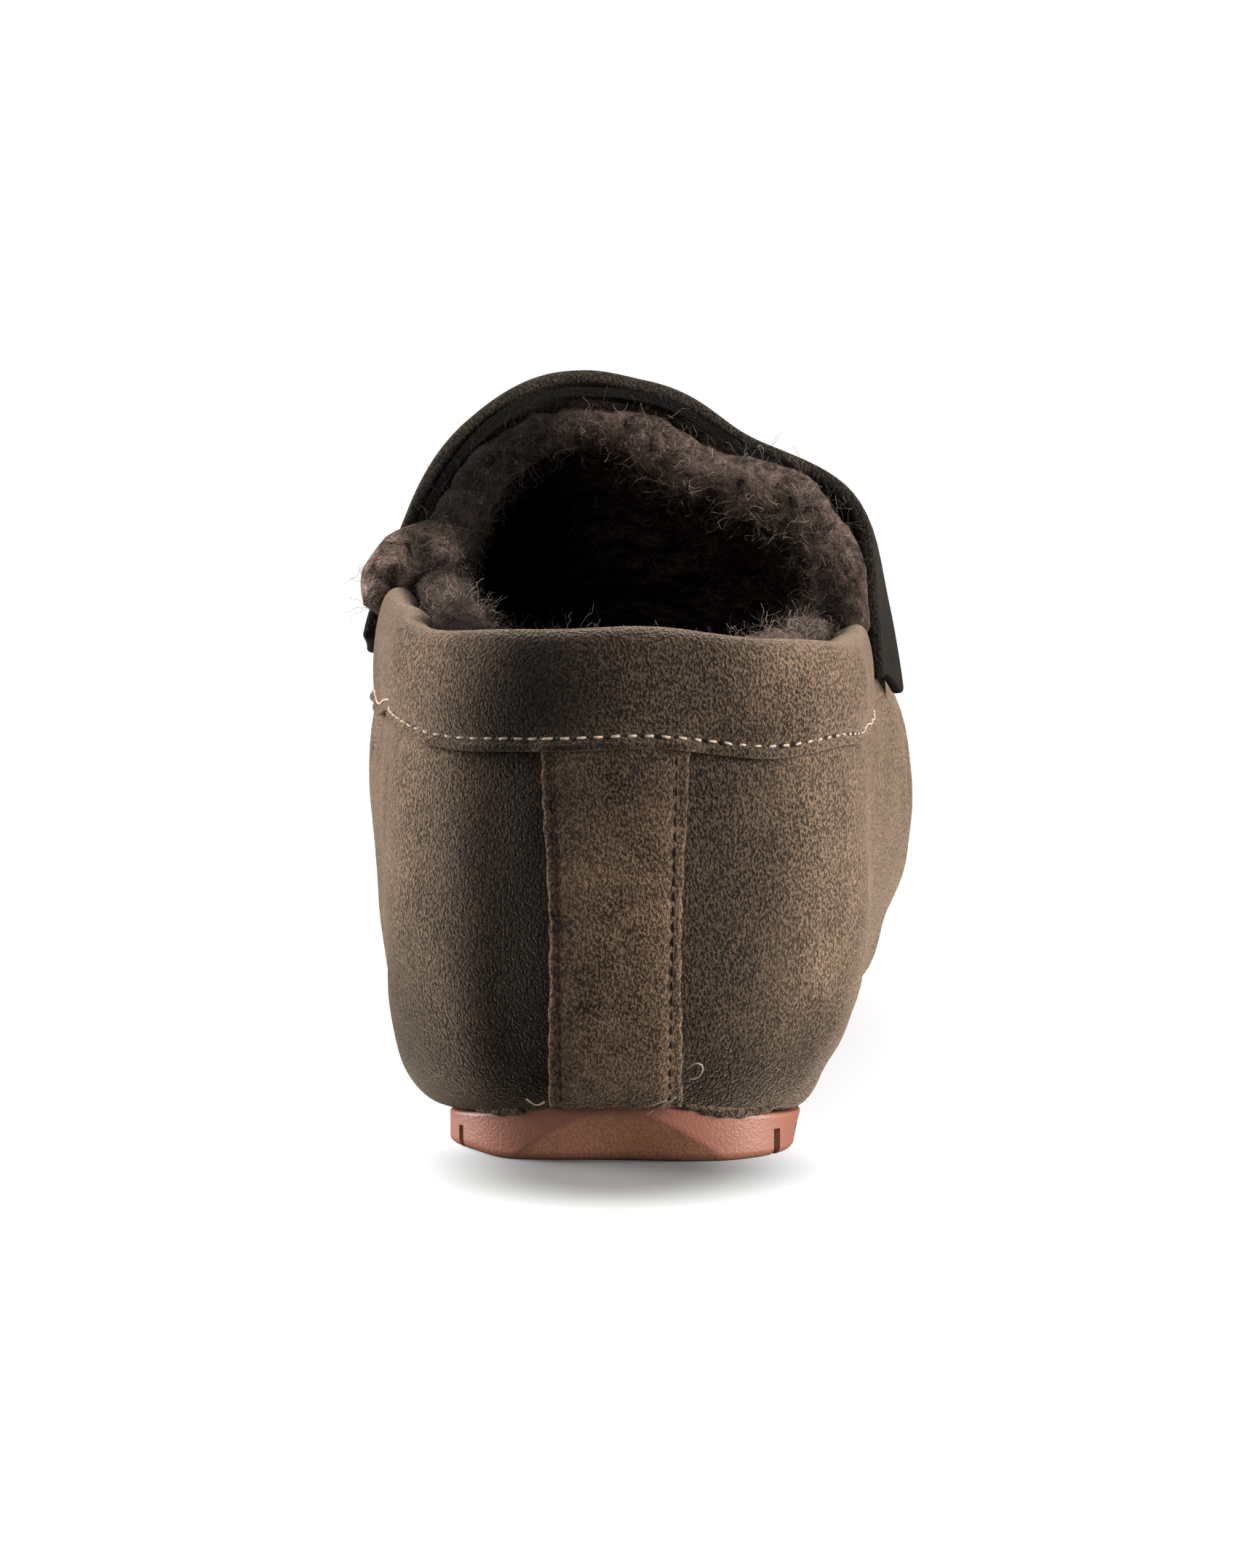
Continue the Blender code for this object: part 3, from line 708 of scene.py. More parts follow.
def edgeColumns(steps, drop, fade):
    heel = np.linspace(0.0, last["heelArc"], steps["heel"] + 1)[:-1]
    collar = np.linspace(last["heelArc"], throat, steps["collar"] + 1)
    vamp = np.linspace(along(90, last["tongueY"]), toeStart, steps["vamp"] + 1)
    toe = np.linspace(toeStart, roundToe, steps["toe"] + 1)[1:]
    low = np.linspace(last["heelArc"], toeStart, len(collar) + steps["tongue"] + steps["vamp"])
    low = np.concatenate([heel, low, toe])
    rear = np.concatenate([heel, collar])
    found = {}
    for side in (1, -1):
        tongueW = np.linspace(throatW[side], 1.0, steps["tongue"] + 1)[1:]
        tongueEdge = along(90, tongueEdgeY(side, tongueW))
        high = np.concatenate([heel, collar, tongueEdge, vamp[1:], toe])
        lowered = toplineHeight(side * rear) - drop * ease((throat - rear) / fade)
        closed = np.ones(len(high) - len(rear) - steps["tongue"])
        topW = np.concatenate([heightToW(side * rear, lowered), tongueW, closed])
        found[side] = side * low, side * high, topW
    back = [values[-2:0:-1] for values in found[-1]]
    return [np.concatenate(pair) for pair in zip(found[1], back)]


def formGrid(steps, lower, upper, drop=0.0, fade=1.0, under=-1.3):
    low, high, topW = edgeColumns(steps, drop, fade)
    below = np.linspace(-1.0, 0.0, lower + 1)
    above = np.linspace(0.0, 1.0, upper + 1)[1:]
    share = np.concatenate([[under], below, above])
    up = ease(np.linspace(0.0, 1.0, len(share)))[:, None]
    place = low + (high - low) * up
    w = np.where(share[:, None] > 0, share[:, None] * topW, share[:, None])
    return place, w


def edgeDistance(place, w, height):
    _, y, _, _ = plane(place)
    collar = toplineHeight(np.clip(place, -throat, throat)) - height
    tongueY = np.where(place < 0, tongueEdgeY(-1, w), tongueEdgeY(1, w))
    return np.where(np.abs(place) <= throat, collar, np.hypot(y - tongueY, np.maximum(collar, 0.0)))


def creaseLift(points, table):
    lift = np.zeros(len(points))
    t = np.linspace(0.0, 1.0, 25)
    for place, z, placeEnd, zEnd, bow, width, rise in table:
        line = place + (placeEnd - place) * t
        height = z + (zEnd - z) * t + bow * np.sin(math.pi * t)
        path = lastForm(line, heightToW(line, height))
        near = np.full(len(points), 1e9)
        for spot in path:
            near = np.minimum(near, ((points - spot) ** 2).sum(axis=1))
        lift += rise * np.exp(-near / width**2)
    return lift


# Painted shade at spots; taken off instead, it gives painted highlights
def paintedSpotShade(points, table):
    shade = np.zeros(len(points))
    for place, z, reach, depth in table:
        spot = lastForm(np.array([place]), heightToW(np.array([place]), z))[0]
        shade = np.maximum(shade, depth * np.exp(-((points - spot) ** 2).sum(axis=1) / reach**2))
    return shade


def buildUpper():
    piece = upperPiece
    place, w = formGrid(piece["steps"], piece["lower"], piece["upper"], piece["drop"], piece["fade"])
    form = lastForm(place, w)
    far = edgeDistance(place, w, form[..., 2])
    faces = gridFaces(*place.shape, True)
    mesh = newMesh("suedeUpper", form.reshape(-1, 3), faces, shoeMiddle, {"far": far})
    far = takeValues(mesh, "far")
    points = meshPoints(mesh)
    lift = creaseLift(points, creases) + 0.35 * lumpNoise(points, 16.0, 3)
    movePoints(mesh, points + meshNormals(mesh) * lift[:, None])
    # Painted shade by the turn and at spots, less the painted highlights
    shade = np.maximum(paintedTurnShade(points), paintedSpotShade(points, paintedShadeSpots))
    # Painted shade, dark along the tongue's edge
    rim = np.where(points[:, 1] > last["throatY"] - 1.0, 1.0 - ease((far - 4.0) / 4.0), 0.0)
    addValues(mesh, "shade", np.maximum(shade, rim) - paintedSpotShade(points, paintedHighlightSpots))
    obj = newObject("suedeUpper", mesh)
    # The inside and the cut edge take the dark suede of painted shade
    mesh.materials.append(upperSuede)
    mesh.materials.append(insideShadeSuede)
    thicken(obj, piece["thick"], 1)
    settle(obj, 50)
    return finishPiece(obj, None, "suede", "upper")


buildUpper()

# Collar band: sewn on outside, folded over the topline and down inside
bandPiece = {"columns": 300, "rows": 46, "thick": 1.1, "setback": 0.5, "stitchDepth": 16.9}
bandProfile = [  # depth below the topline, lift from the last
    (18.8, 0.35),
    (18.9, 0.8),
    (18.6, 1.3),
    (17.9, 1.4),
    (16.9, 0.9),
    (15.9, 1.15),
    (13.0, 1.6),
    (9.0, 1.9),
    (5.0, 1.9),
    (2.4, 1.6),
    (0.8, 0.8),
    (0.0, -0.9),
    (0.5, -2.9),
    (2.0, -4.3),
    (5.0, -5.2),
    (9.0, -5.6),
]
# Painted shade at the darker places, as on the upper, and paler spots
bandPaintedShadeSpots = [(-15, 74, 8, 0.95), (-5, 70, 6, 0.85)]
bandPaleSpots = [(27, 77, 8, 0.3), (-34, 77, 8, 0.25), (10, 71, 6, 0.15), (-22, 80, 4, 0.25)]


def bandNarrow(place):
    return 1.0 - 0.125 * ease((np.abs(place) - 22.0) / 24.0) + 0.15 * ease((-place - 66.0) / 40.0)


def bandSway(place):  # the topline and the seam are a little uneven
    return 0.35 * np.sin(place / 11.0 + 1.0) + 0.2 * np.sin(place / 4.7)


def bandLift(place, lift, end):  # lower towards the band's two ends
    return last["gap"] + (lift - last["gap"]) * (0.55 + 0.45 * ease((end - np.abs(place)) / 9.0))


def bandWave(place):
    return 0.45 * np.sin(place / 14.0 + 0.7) + 0.3 * np.sin(place / 6.3 + 2.0)


def overHeelStrip(place):  # the band stands off where the heel strip is under it
    return ease((14.0 - np.abs(place)) / 4.0)


def buildBand():
    piece = bandPiece
    knots = np.arange(len(bandProfile))
    at = np.linspace(0, len(bandProfile) - 1, piece["rows"])[:, None]
    depth = smoothCurve(knots, [row[0] for row in bandProfile])(at)
    lift = smoothCurve(knots, [row[1] for row in bandProfile])(at)
    end = throat - piece["setback"]
    place = np.linspace(-end, end, piece["columns"])[None, :]
    outside = ease((6.5 - at) / 3)
    low = ease((depth - 12.0) / 5.0) * outside
    pucker = 0.28 * np.sin(place / 1.55 + 1.2 * np.sin(place / 7.0)) * np.sin(place / 23.0 + 0.6)
    lift = lift + low * (pucker + overHeelStrip(place)) + outside * bandWave(place) * 0.5
    lift = bandLift(place, lift, end)
    top = toplineHeight(place) + bandSway(place)
    place, height = np.broadcast_arrays(place, top - depth * bandNarrow(place))
    points = raised(place, heightToW(place, height), lift)
    mesh = newMesh("collarBand", points.reshape(-1, 3), gridFaces(*place.shape), (0, 60, 40))
    points = meshPoints(mesh)
    # Painted shade by the turn and at spots, less the paler spots
    shade = np.maximum(paintedTurnShade(points), paintedSpotShade(points, bandPaintedShadeSpots))
    addValues(mesh, "shade", shade - paintedSpotShade(points, bandPaleSpots))
    obj = newObject("collarBand", mesh)
    thicken(obj, piece["thick"])
    settle(obj, 60)
    return finishPiece(obj, bandSuede, "band_suede", "collar_band")


buildBand()

# Heel strip
backstayPiece = {
    "topHalf": 10.7,
    "footHalf": 9.6,
    "thick": 1.25,
    "foot": 10.6,
    "top": 66.5,
    "seam": 1.5,  # from the edge to the stitches
    "rows": 90,
    "columns": 34,
}


def buildBackstay():
    piece = backstayPiece
    height = np.linspace(piece["foot"], piece["top"], piece["rows"])
    half = np.linspace(piece["footHalf"], piece["topHalf"], piece["rows"])
    w = heightToW(np.zeros(piece["rows"]), height)[:, None]
    reach = last["heelY"] - lastForm(np.zeros((piece["rows"], 1)), w)[..., 1]
    share = np.sin(np.linspace(-1.0, 1.0, piece["columns"]) * math.pi / 2)
    ragged = 0.12 * np.sin(height / 0.8 + 2 * np.sin(height / 3.1)) + 0.3 * np.sin(height / 8.0)
    across = share * (half + ragged)[:, None]
    place = np.arcsin(across / reach) / (math.pi / 2) * last["heelArc"]
    edge = 1.0 - np.abs(share)
    crown = 0.35 * ease(edge / 0.35) - 0.25 * np.exp(-(((edge * 10 - 1.5) / 0.6) ** 2))
    w = np.broadcast_to(w, place.shape)
    gap = last["gap"]
    lift = gap + piece["thick"] * (0.8 + 0.2 * ease(edge / 0.04)) + crown
    points, faces = slab(raised(place, w, lift), raised(place, w, gap * 0.3))
    shade = 0.06 + 0.4 * ease((height - 44.0) / 16.0)[:, None] - 0.55 * ease((0.02 - edge) / 0.02)
    mesh = newMesh("heelStrip", points, faces, None, {"shade": np.stack([shade, shade])})
    mesh.set_sharp_from_angle(angle=math.radians(55))
    return finishPiece(newObject("heelStrip", mesh), backstaySuede, "backstay_suede", "backstay")


buildBackstay()

# Strap over the instep
strapPiece = {
    "width": 27.0,
    "thick": 2.3,
    "flare": {1: 0.5, -1: 1.5},
    "flareReach": {1: 0.75, -1: 0.3},
    "endZ": {1: 67.0, -1: 73.8},
    "crown": 1.1,
    "crownFrom": {1: 0.84, -1: 0.7},
    "crownReach": {1: 0.14, -1: 0.25},
    "bulge": {1: 1.0, -1: 0.0},  # the outer side bows away from the foot
    "bulgeAt": 0.33,
    "bulgeReach": 0.07,
    # Painted shade on the tabs and painted light on the crest, by height
    "shade": [(75, 95, 112), (0.5, 0.0, -0.7)],  # heights, and how much darker there
    "rows": 22,
    "columns": 60,
}


def strapGrid():
    piece = strapPiece
    across = np.linspace(0.0, piece["width"], piece["rows"])[:, None]
    halves = {}
    for side in (1, -1):
        low = float(heightToW(np.array([side * throat]), piece["endZ"][side])[0])
        w = np.linspace(low, 1.0, piece["columns"])
        flare = piece["flare"][side] * (1.0 - ease((w - low) / (piece["flareReach"][side] * (1.0 - low))))
        y = tongueEdgeY(side, w) + 2 * last["gap"] + across
        crown = piece["crown"] * ease((w - piece["crownFrom"][side]) / piece["crownReach"][side])
        bulge = piece["bulge"][side] * np.exp(-(((w - piece["bulgeAt"]) / piece["bulgeReach"]) ** 2))
        halves[side] = side * along(90, y), w + 0 * y, last["gap"] + flare + crown + bulge + 0 * y
    inner = [part[:, -2::-1] for part in halves[-1]]
    return [np.concatenate(pair, axis=1) for pair in zip(halves[1], inner)]


def buildStrap():
    place, w, lift = strapGrid()
    wave = 0.25 * np.sin(np.linspace(0, 19, place.shape[1]))[None, :]
    points, faces = slab(raised(place, w, lift + strapPiece["thick"] + wave), raised(place, w, lift))
    mesh = newMesh("instepStrap", points, faces)
    # Painted shade and light on the strap, by height
    addValues(mesh, "shade", np.interp(meshPoints(mesh)[:, 2], *strapPiece["shade"]))
    obj = newObject("instepStrap", mesh)
    edge = obj.modifiers.new("round", "BEVEL")
    edge.width = 0.0008
    edge.segments = 3
    edge.limit_method = "ANGLE"
    edge.angle_limit = math.radians(50)
    settle(obj, 50)
    return finishPiece(obj, strapSuede, "strap_suede", "saddle_strap")


buildStrap()
print("suede pieces made")

# Sole
solePiece = {
    "ledge": 1.0,
    "seat": 4.3,
    "roll": 3.4,
    "rollHalf": 21.0,
    "facetTop": 1.0,
    "bevel": 1.0,
    "lugFirst": {1: 32.0, -1: 34.5},
    "lugPitch": 10.6,
    "lugCount": 25,
    "notchWidth": 1.2,
    "notchDepth": 1.5,
    "notchRise": 0.64,
    # Where the worn and the tapered stretch start and over what length, then where they end
    "round": 0.4,
    "roundAt": (22.0, 10.0, 36.0, 14.0),
    "taper": 1.7,
    "taperAt": (34.0, 16.0, 80.0, 40.0),
    "lip": 0.45,
    "columns": 1400,
    "rows": 26,
}


def between(distance, start, rise, end, fall):  # 0 before and after, 1 in the middle
    return ease((distance - start) / rise) * (1 - ease((distance - end) / fall))


def buildSole():
    piece = solePiece
    outer = np.linspace(0.0, roundToe, piece["columns"] // 2)
    place = np.concatenate([outer, -outer[-2:0:-1]])
    axisX, axisY, wayX, wayY = plane(place)
    distance = np.abs(place)
    reach = shape["foot"](place) + piece["ledge"]
    thick = shape["sole"](place) - last["gap"] + piece["lip"] * ease((30.0 - distance) / 20.0)
    boundary = (thick - piece["facetTop"]) * np.clip(1.0 - (distance / piece["rollHalf"]) ** 2, -1.0, 1.0)
    worn = piece["round"] * np.where(place < 0, between(distance, *piece["roundAt"]), 0)
    taper = piece["taper"] * np.where(place > 0, between(distance, *piece["taperAt"]), 0)
    first = np.where(place < 0, piece["lugFirst"][-1], piece["lugFirst"][1])
    notches = first[:, None] + piece["lugPitch"] * np.arange(piece["lugCount"])
    near = np.abs(distance[:, None] - notches).min(axis=1)
    slot = piece["notchDepth"] * (1.0 - ease((near - piece["notchWidth"] / 2 + 0.15) / 0.3))
    rows = []
    facets = []
    for share in np.linspace(0.0, 1.0, piece["rows"]):
        height = worn + (thick - worn) * share
        below = np.clip(boundary - height, 0.0, None)
        bevel = piece["bevel"] * (1.0 - np.clip(share * 7.0, 0, 1) ** 0.5)
        under = bevel + worn * (1.0 - np.clip(share * 4, 0, 1))
        lip = 0.35 * np.clip((share - 0.93) / 0.07, 0, 1) ** 2
        cut = slot * ease((piece["notchRise"] - share) / 0.03)
        narrow = under + lip + cut + taper * (1.0 - share)
        radius = reach - narrow - piece["roll"] * below / thick.max()
        y = axisY + wayY * radius
        rows.append(np.stack([axisX + wayX * radius, y, floorLine(y) + height], axis=-1))
        facets.append(ease(below / 0.7) * ease((piece["rollHalf"] + 1 - distance) / 2))
    flat = [np.stack([axisX, axisY, floorLine(axisY)], axis=-1)]
    for share in (0.35, 0.7, 0.93):
        rolled = piece["roll"] * np.clip(boundary, 0, None) / thick.max()
        radius = share * (reach - piece["bevel"] - slot - taper - rolled)
        y = axisY + wayY * radius
        flat.append(np.stack([axisX + wayX * radius, y, floorLine(y) + worn * (share > 0.9)], axis=-1))
    inside = rows[-1].copy()
    inner = reach - piece["ledge"] - last["margin"]
    inside[:, 0] = axisX + wayX * inner
    inside[:, 1] = axisY + wayY * inner
    top = np.stack([axisX, axisY, floorLine(axisY) + piece["seat"]], axis=-1)
    rings = np.stack(flat + rows + [inside, top])
    faces = gridFaces(len(rings), len(place), True)
    facets = np.concatenate([np.zeros((len(flat), len(place))), np.array(facets), np.zeros((2, len(place)))])
    mesh = newMesh("gumSole", rings.reshape(-1, 3), faces, None, {"facet": facets})
    mesh.set_sharp_from_angle(angle=math.radians(38))
    return finishPiece(newObject("gumSole", mesh), gumRubber, "gum_rubber", "outsole")


buildSole()

# Wool lining
liningPiece = {
    "steps": {"heel": 40, "collar": 40, "tongue": 40, "vamp": 46, "toe": 18},
    "lower": 22,
    "upper": 34,
    "skin": 1.75,
    "pile": 7.2,
    "swell": 13.0,
    "lump": 2.6,
    "lumpSize": 8.5,
    "tuft": 1.2,
    "tuftSize": 3.0,
    "fibreEnd": 165.0,  # no fibres farther in, where nobody sees them
}
# Painted shade on the wool of the inner side: x at which the shade starts, is full and ends
innerShade = {"start": 2.0, "full": -14.0, "edge": -37.0}
# Painted light on lit tufts and painted shade in dark gaps of the wool: middle, reach and how much paler
woolPaintedSpots = [
    (-27, 76, 83, 12.0, 1.1),
    (-25, 45, 82, 12.0, 1.5),
    (-30.5, 105, 90, 2.6, 1.6),
    (30, 56, 83, 14.0, -0.6),
    (36, 100, 80, 9.0, -0.9),
]


def woolShade(points):
    look = innerShade
    deep = ease((look["start"] - points[:, 0]) / (look["start"] - look["full"]))
    # Paler past the collar's outer edge: painted light
    outside = ease((look["edge"] - points[:, 0]) / 3.0)
    shade = deep * ease((points[:, 0] - look["edge"]) / 5.0) - 0.6 * outside
    for *middle, reach, amount in woolPaintedSpots:
        shade -= amount * np.exp(-((points - np.array(middle)) ** 2).sum(axis=1) / reach**2)
    return shade


def buildLining():
    piece = liningPiece
    place, w = formGrid(piece["steps"], piece["lower"], piece["upper"], 1.2, 12.0, -1.15)
    height = lastForm(place, w)[..., 2]
    far = edgeDistance(place, w, height)
    fill = ease(far / piece["swell"])
    base = lastForm(place, w, piece["skin"] + piece["pile"] * fill)
    faces = gridFaces(*place.shape, True)
    mesh = newMesh("woolLining", base.reshape(-1, 3), faces, shoeMiddle, {"fill": fill, "far": far})
    mesh.flip_normals()
    points = meshPoints(mesh)
    lumps = piece["lump"] * lumpNoise(points, piece["lumpSize"], 5)
    lumps += piece["tuft"] * lumpNoise(points, piece["tuftSize"], 9)
    fill = takeValues(mesh, "fill")
    far = takeValues(mesh, "far")
    movePoints(mesh, points + meshNormals(mesh) * (lumps * (0.1 + 0.9 * fill))[:, None])
    dense = (1.0 - ease((far - 30.0) / 35.0)) * ease((far - 3.0) / 4.0)
    addValues(mesh, "pile", dense * (points[:, 1] < piece["fibreEnd"]))
    addValues(mesh, "shade", woolShade(points))
    return finishPiece(newObject("woolLining", mesh), woolPile, "wool")


woolLining = buildLining()

# Insole and rolls of wool
insolePiece = {"columns": 120, "rings": 26, "rimW": -0.62, "lowW": -0.95, "crown": 9.0, "fibreEnd": 170.0}
rollPiece = {
    "sides": 16,
    "lump": 1.3,
    "lumpSize": 8.0,
    "tuft": 0.6,
    "tuftSize": 2.6,
    # A roll is flat where it spills over the collar's ends: distance from the middle and reach of the change
    "flatOuter": (39.5, 2.5),
    "flatInner": (31.0, 5.0),
    "strapMiddle": (0.0, 0.0, 60.0),  # the strap goes round this point
}


def woolLumps(points, seed, tuftSeed):
    locks = rollPiece["lump"] * lumpNoise(points, rollPiece["lumpSize"], seed)
    return locks + rollPiece["tuft"] * lumpNoise(points, rollPiece["tuftSize"], tuftSeed)


def buildInsole():
    piece = insolePiece
    outer = np.linspace(0.0, roundToe, piece["columns"])
    place = np.concatenate([outer, -outer[-2:0:-1]])
    size = last["wall"] + 0.8
    axisX, axisY, _, _ = plane(place)
    rim = lastForm(place, piece["rimW"], size)
    low = lastForm(place, piece["lowW"], size)
    underZ = floorLine(axisY) + solePiece["seat"] + last["marginWall"] + 2 * last["gap"]
    under = np.stack([axisX, axisY, underZ], axis=-1)
    crown = np.stack([axisX, axisY, underZ + piece["crown"]], axis=-1)
    rings = [under, low]
    for share in np.linspace(0.0, 1.0, piece["rings"]):
        ring = rim * (1 - share) + crown * share
        ring[:, 2] = rim[:, 2] + (crown[:, 2] - rim[:, 2]) * math.sin(share * math.pi / 2)
        rings.append(ring)
    rings = np.stack(rings)
    mesh = newMesh("woolInsole", rings.reshape(-1, 3), gridFaces(len(rings), len(place), True))
    points = meshPoints(mesh)
    lumps = woolLumps(points, 12, 14)
    facing = np.clip(meshNormals(mesh)[:, 2], 0.0, 1.0)
    movePoints(mesh, points + np.array([0.0, 0.0, 1.0]) * (lumps * facing)[:, None])
    addValues(mesh, "pile", facing * (points[:, 1] < piece["fibreEnd"]))
    return finishPiece(newObject("woolInsole", mesh), woolPile, "wool", "insole")


woolInsole = buildInsole()


def buildRoll(name, path, radius, seed, sparse=0.0):  # a lumpy roll of wool, sparse where it meets the strap
    points, faces = tube(path, radius, rollPiece["sides"])
    mesh = newMesh(name, points, faces)
    points = meshPoints(mesh)
    lumps = woolLumps(points, seed, seed + 1)
    inner, innerReach = rollPiece["flatInner"]
    outer, outerReach = rollPiece["flatOuter"]
    pressed = ease((-inner - points[:, 0]) / innerReach) + ease((points[:, 0] - outer) / outerReach)
    movePoints(mesh, points + meshNormals(mesh) * (lumps * (1.0 - 0.85 * pressed))[:, None])
    away = points * (1.0, 0.0, 1.0) - rollPiece["strapMiddle"]
    facing = (meshNormals(mesh) * away).sum(axis=1) / np.linalg.norm(away, axis=1)
    addValues(mesh, "pile", (1.0 - 0.9 * pressed) * (1.0 - sparse * ease((facing - 0.15) / 0.6)))
    addValues(mesh, "shade", woolShade(points))
    return finishPiece(newObject(name, mesh), woolPile, "wool")


# Wool along the tongue's edge, from the collar's end to the crest: share of the way, radius, depth inside
# and shift in y
tongueWool = {
    1: [
        (0, 1.5, 2.6, -2.0),
        (0.03, 4.2, 2.4, -2.0),
        (0.12, 5.0, 2.8, -1.5),
        (0.25, 5.4, 5.0, -0.5),
        (0.6, 5.4, 8.2, 0.5),
        (0.85, 4.8, 7.9, 0.8),
        (1, 4.0, 6.8, 1.0),
    ],
    -1: [
        (0, 1.8, -0.4, -3.0),
        (0.02, 4.4, -1.0, -3.0),
        (0.07, 5.8, -0.8, -2.5),
        (0.14, 5.7, 0.8, -1.2),
        (0.25, 4.4, 6.0, -0.5),
        (0.6, 4.2, 7.0, 0.5),
        (1, 4.0, 6.8, 1.0),
    ],
}
tongueStart = {1: 0.03, -1: 0.06}  # how far below the throat the roll starts, in w


def tongueWoolPath():
    halves = {}
    for side in (1, -1):
        share, radius, depth, shift = np.array(tongueWool[side]).T
        t = np.linspace(0.0, 1.0, 60)
        start = throatW[side] - tongueStart[side]
        w = start + (1.0 - start) * t
        y = tongueEdgeY(side, w) + np.interp(t, share, shift)
        path = lastForm(side * along(90, y), w, np.interp(t, share, depth))
        halves[side] = path, np.interp(t, share, radius)
    return [np.concatenate([halves[1][k], halves[-1][k][-2::-1]]) for k in (0, 1)]


tongueRoll = buildRoll("tongueWool", *tongueWoolPath(), 31, 0.7)

# Wool inside the collar: place, rise above the usual and radius
collarWool = [
    (-112, 3.0, 4.2),
    (-100, 1.0, 3.6),
    (-70, 1.5, 3.8),
    (-56, 3.2, 4.2),
    (-44, 1.4, 3.8),
    (-28, 0.4, 3.2),
    (-14, -0.6, 3.0),
    (-4, -2.0, 3.0),
    (12, -2.0, 3.0),
    (24, 0.2, 3.2),
    (32, 1.4, 3.6),
    (44, 0.8, 3.6),
    (70, 0.4, 3.4),
    (100, 0.8, 3.6),
    (112, 2.0, 4.0),
]


def collarWoolPath():
    knots, rise, radius = np.array(collarWool).T
    place = np.linspace(-throat + 1.0, throat - 1.0, 260)
    height = toplineHeight(place) - 4.2 + np.interp(place, knots, rise)
    path = lastForm(place, heightToW(place, height), 9.2)
    path[:, 2] = height
    return path, np.interp(place, knots, radius)


collarRoll = buildRoll("collarWool", *collarWoolPath(), 41)
print("wool surfaces made")

# Geometry Nodes: what repeats along a seam or over a surface


def newTree(name, numbers, wholeNumbers):
    tree = bpy.data.node_groups.new(name, "GeometryNodeTree")
    kinds = {"Geometry": "Geometry", **dict.fromkeys(numbers, "Float"), **dict.fromkeys(wholeNumbers, "Int")}
    kinds["Material"] = "Material"
    for label, kind in kinds.items():
        tree.interface.new_socket(label, in_out="INPUT", socket_type="NodeSocket" + kind)
    tree.interface.new_socket("Geometry", in_out="OUTPUT", socket_type="NodeSocketGeometry")
    return tree, addNode(tree, "NodeGroupInput").outputs


def endTree(tree, geometry, material):
    done = addNode(tree, "GeometryNodeSetMaterial", {"Geometry": geometry, "Material": material})
    addNode(tree, "NodeGroupOutput", {0: done.outputs[0]})
    return tree


def vector(tree, **parts):
    return addNode(tree, "ShaderNodeCombineXYZ", parts).outputs[0]


def randomVector(tree, low, high, seed):
    inputs = {0: low, 1: high, "Seed": seed}
    return addNode(tree, "FunctionNodeRandomValue", inputs, data_type="FLOAT_VECTOR").outputs[0]


def randomNumber(tree, low, high, seed):
    inputs = {2: low, 3: high, "Seed": seed}
    return addNode(tree, "FunctionNodeRandomValue", inputs, data_type="FLOAT").outputs[1]


def turnedBy(tree, rotation, angles):  # in the rotation's own axes
    extra = addNode(tree, "FunctionNodeEulerToRotation", {0: angles}).outputs[0]
    inputs = {0: rotation, 1: extra}
    return addNode(tree, "FunctionNodeRotateRotation", inputs, rotation_space="LOCAL").outputs[0]


def namedValue(tree, name, kind):
    node = addNode(tree, "GeometryNodeInputNamedAttribute", {"Name": name}, data_type=kind)
    return node.outputs["Attribute"]


def storedValue(tree, geometry, name, value, domain):
    inputs = {"Geometry": geometry, "Name": name, "Value": value}
    kinds = {"data_type": "FLOAT", "domain": domain}
    return addNode(tree, "GeometryNodeStoreNamedAttribute", inputs, **kinds).outputs[0]


def copies(tree, points, instance, rotation, **size):
    inputs = {"Points": points, "Instance": instance, "Rotation": rotation, **size}
    return addNode(tree, "GeometryNodeInstanceOnPoints", inputs).outputs[0]


def realized(tree, geometry):
    return addNode(tree, "GeometryNodeRealizeInstances", {0: geometry}).outputs[0]


def roundRod(tree, curve, sides, radius, **taper):
    ring = addNode(tree, "GeometryNodeCurvePrimitiveCircle", {"Resolution": sides, "Radius": radius})
    inputs = {"Curve": curve, "Profile Curve": ring.outputs[0], "Fill Caps": True, **taper}
    return addNode(tree, "GeometryNodeCurveToMesh", inputs).outputs[0]


def growPiece(name, host, tree, values):  # runs the tree on the host and keeps the result as a plain mesh
    modifier = host.modifiers.new(name, "NODES")
    modifier.node_group = tree
    for item in tree.interface.items_tree:
        if item.in_out == "INPUT" and item.name in values:
            modifier[item.identifier] = values[item.name]
    bpy.context.view_layer.update()
    graph = bpy.context.evaluated_depsgraph_get()
    mesh = bpy.data.meshes.new_from_object(host.evaluated_get(graph), depsgraph=graph)
    host.modifiers.remove(modifier)
    mesh.name = name
    mesh.shade_smooth()
    return newObject(name, mesh)


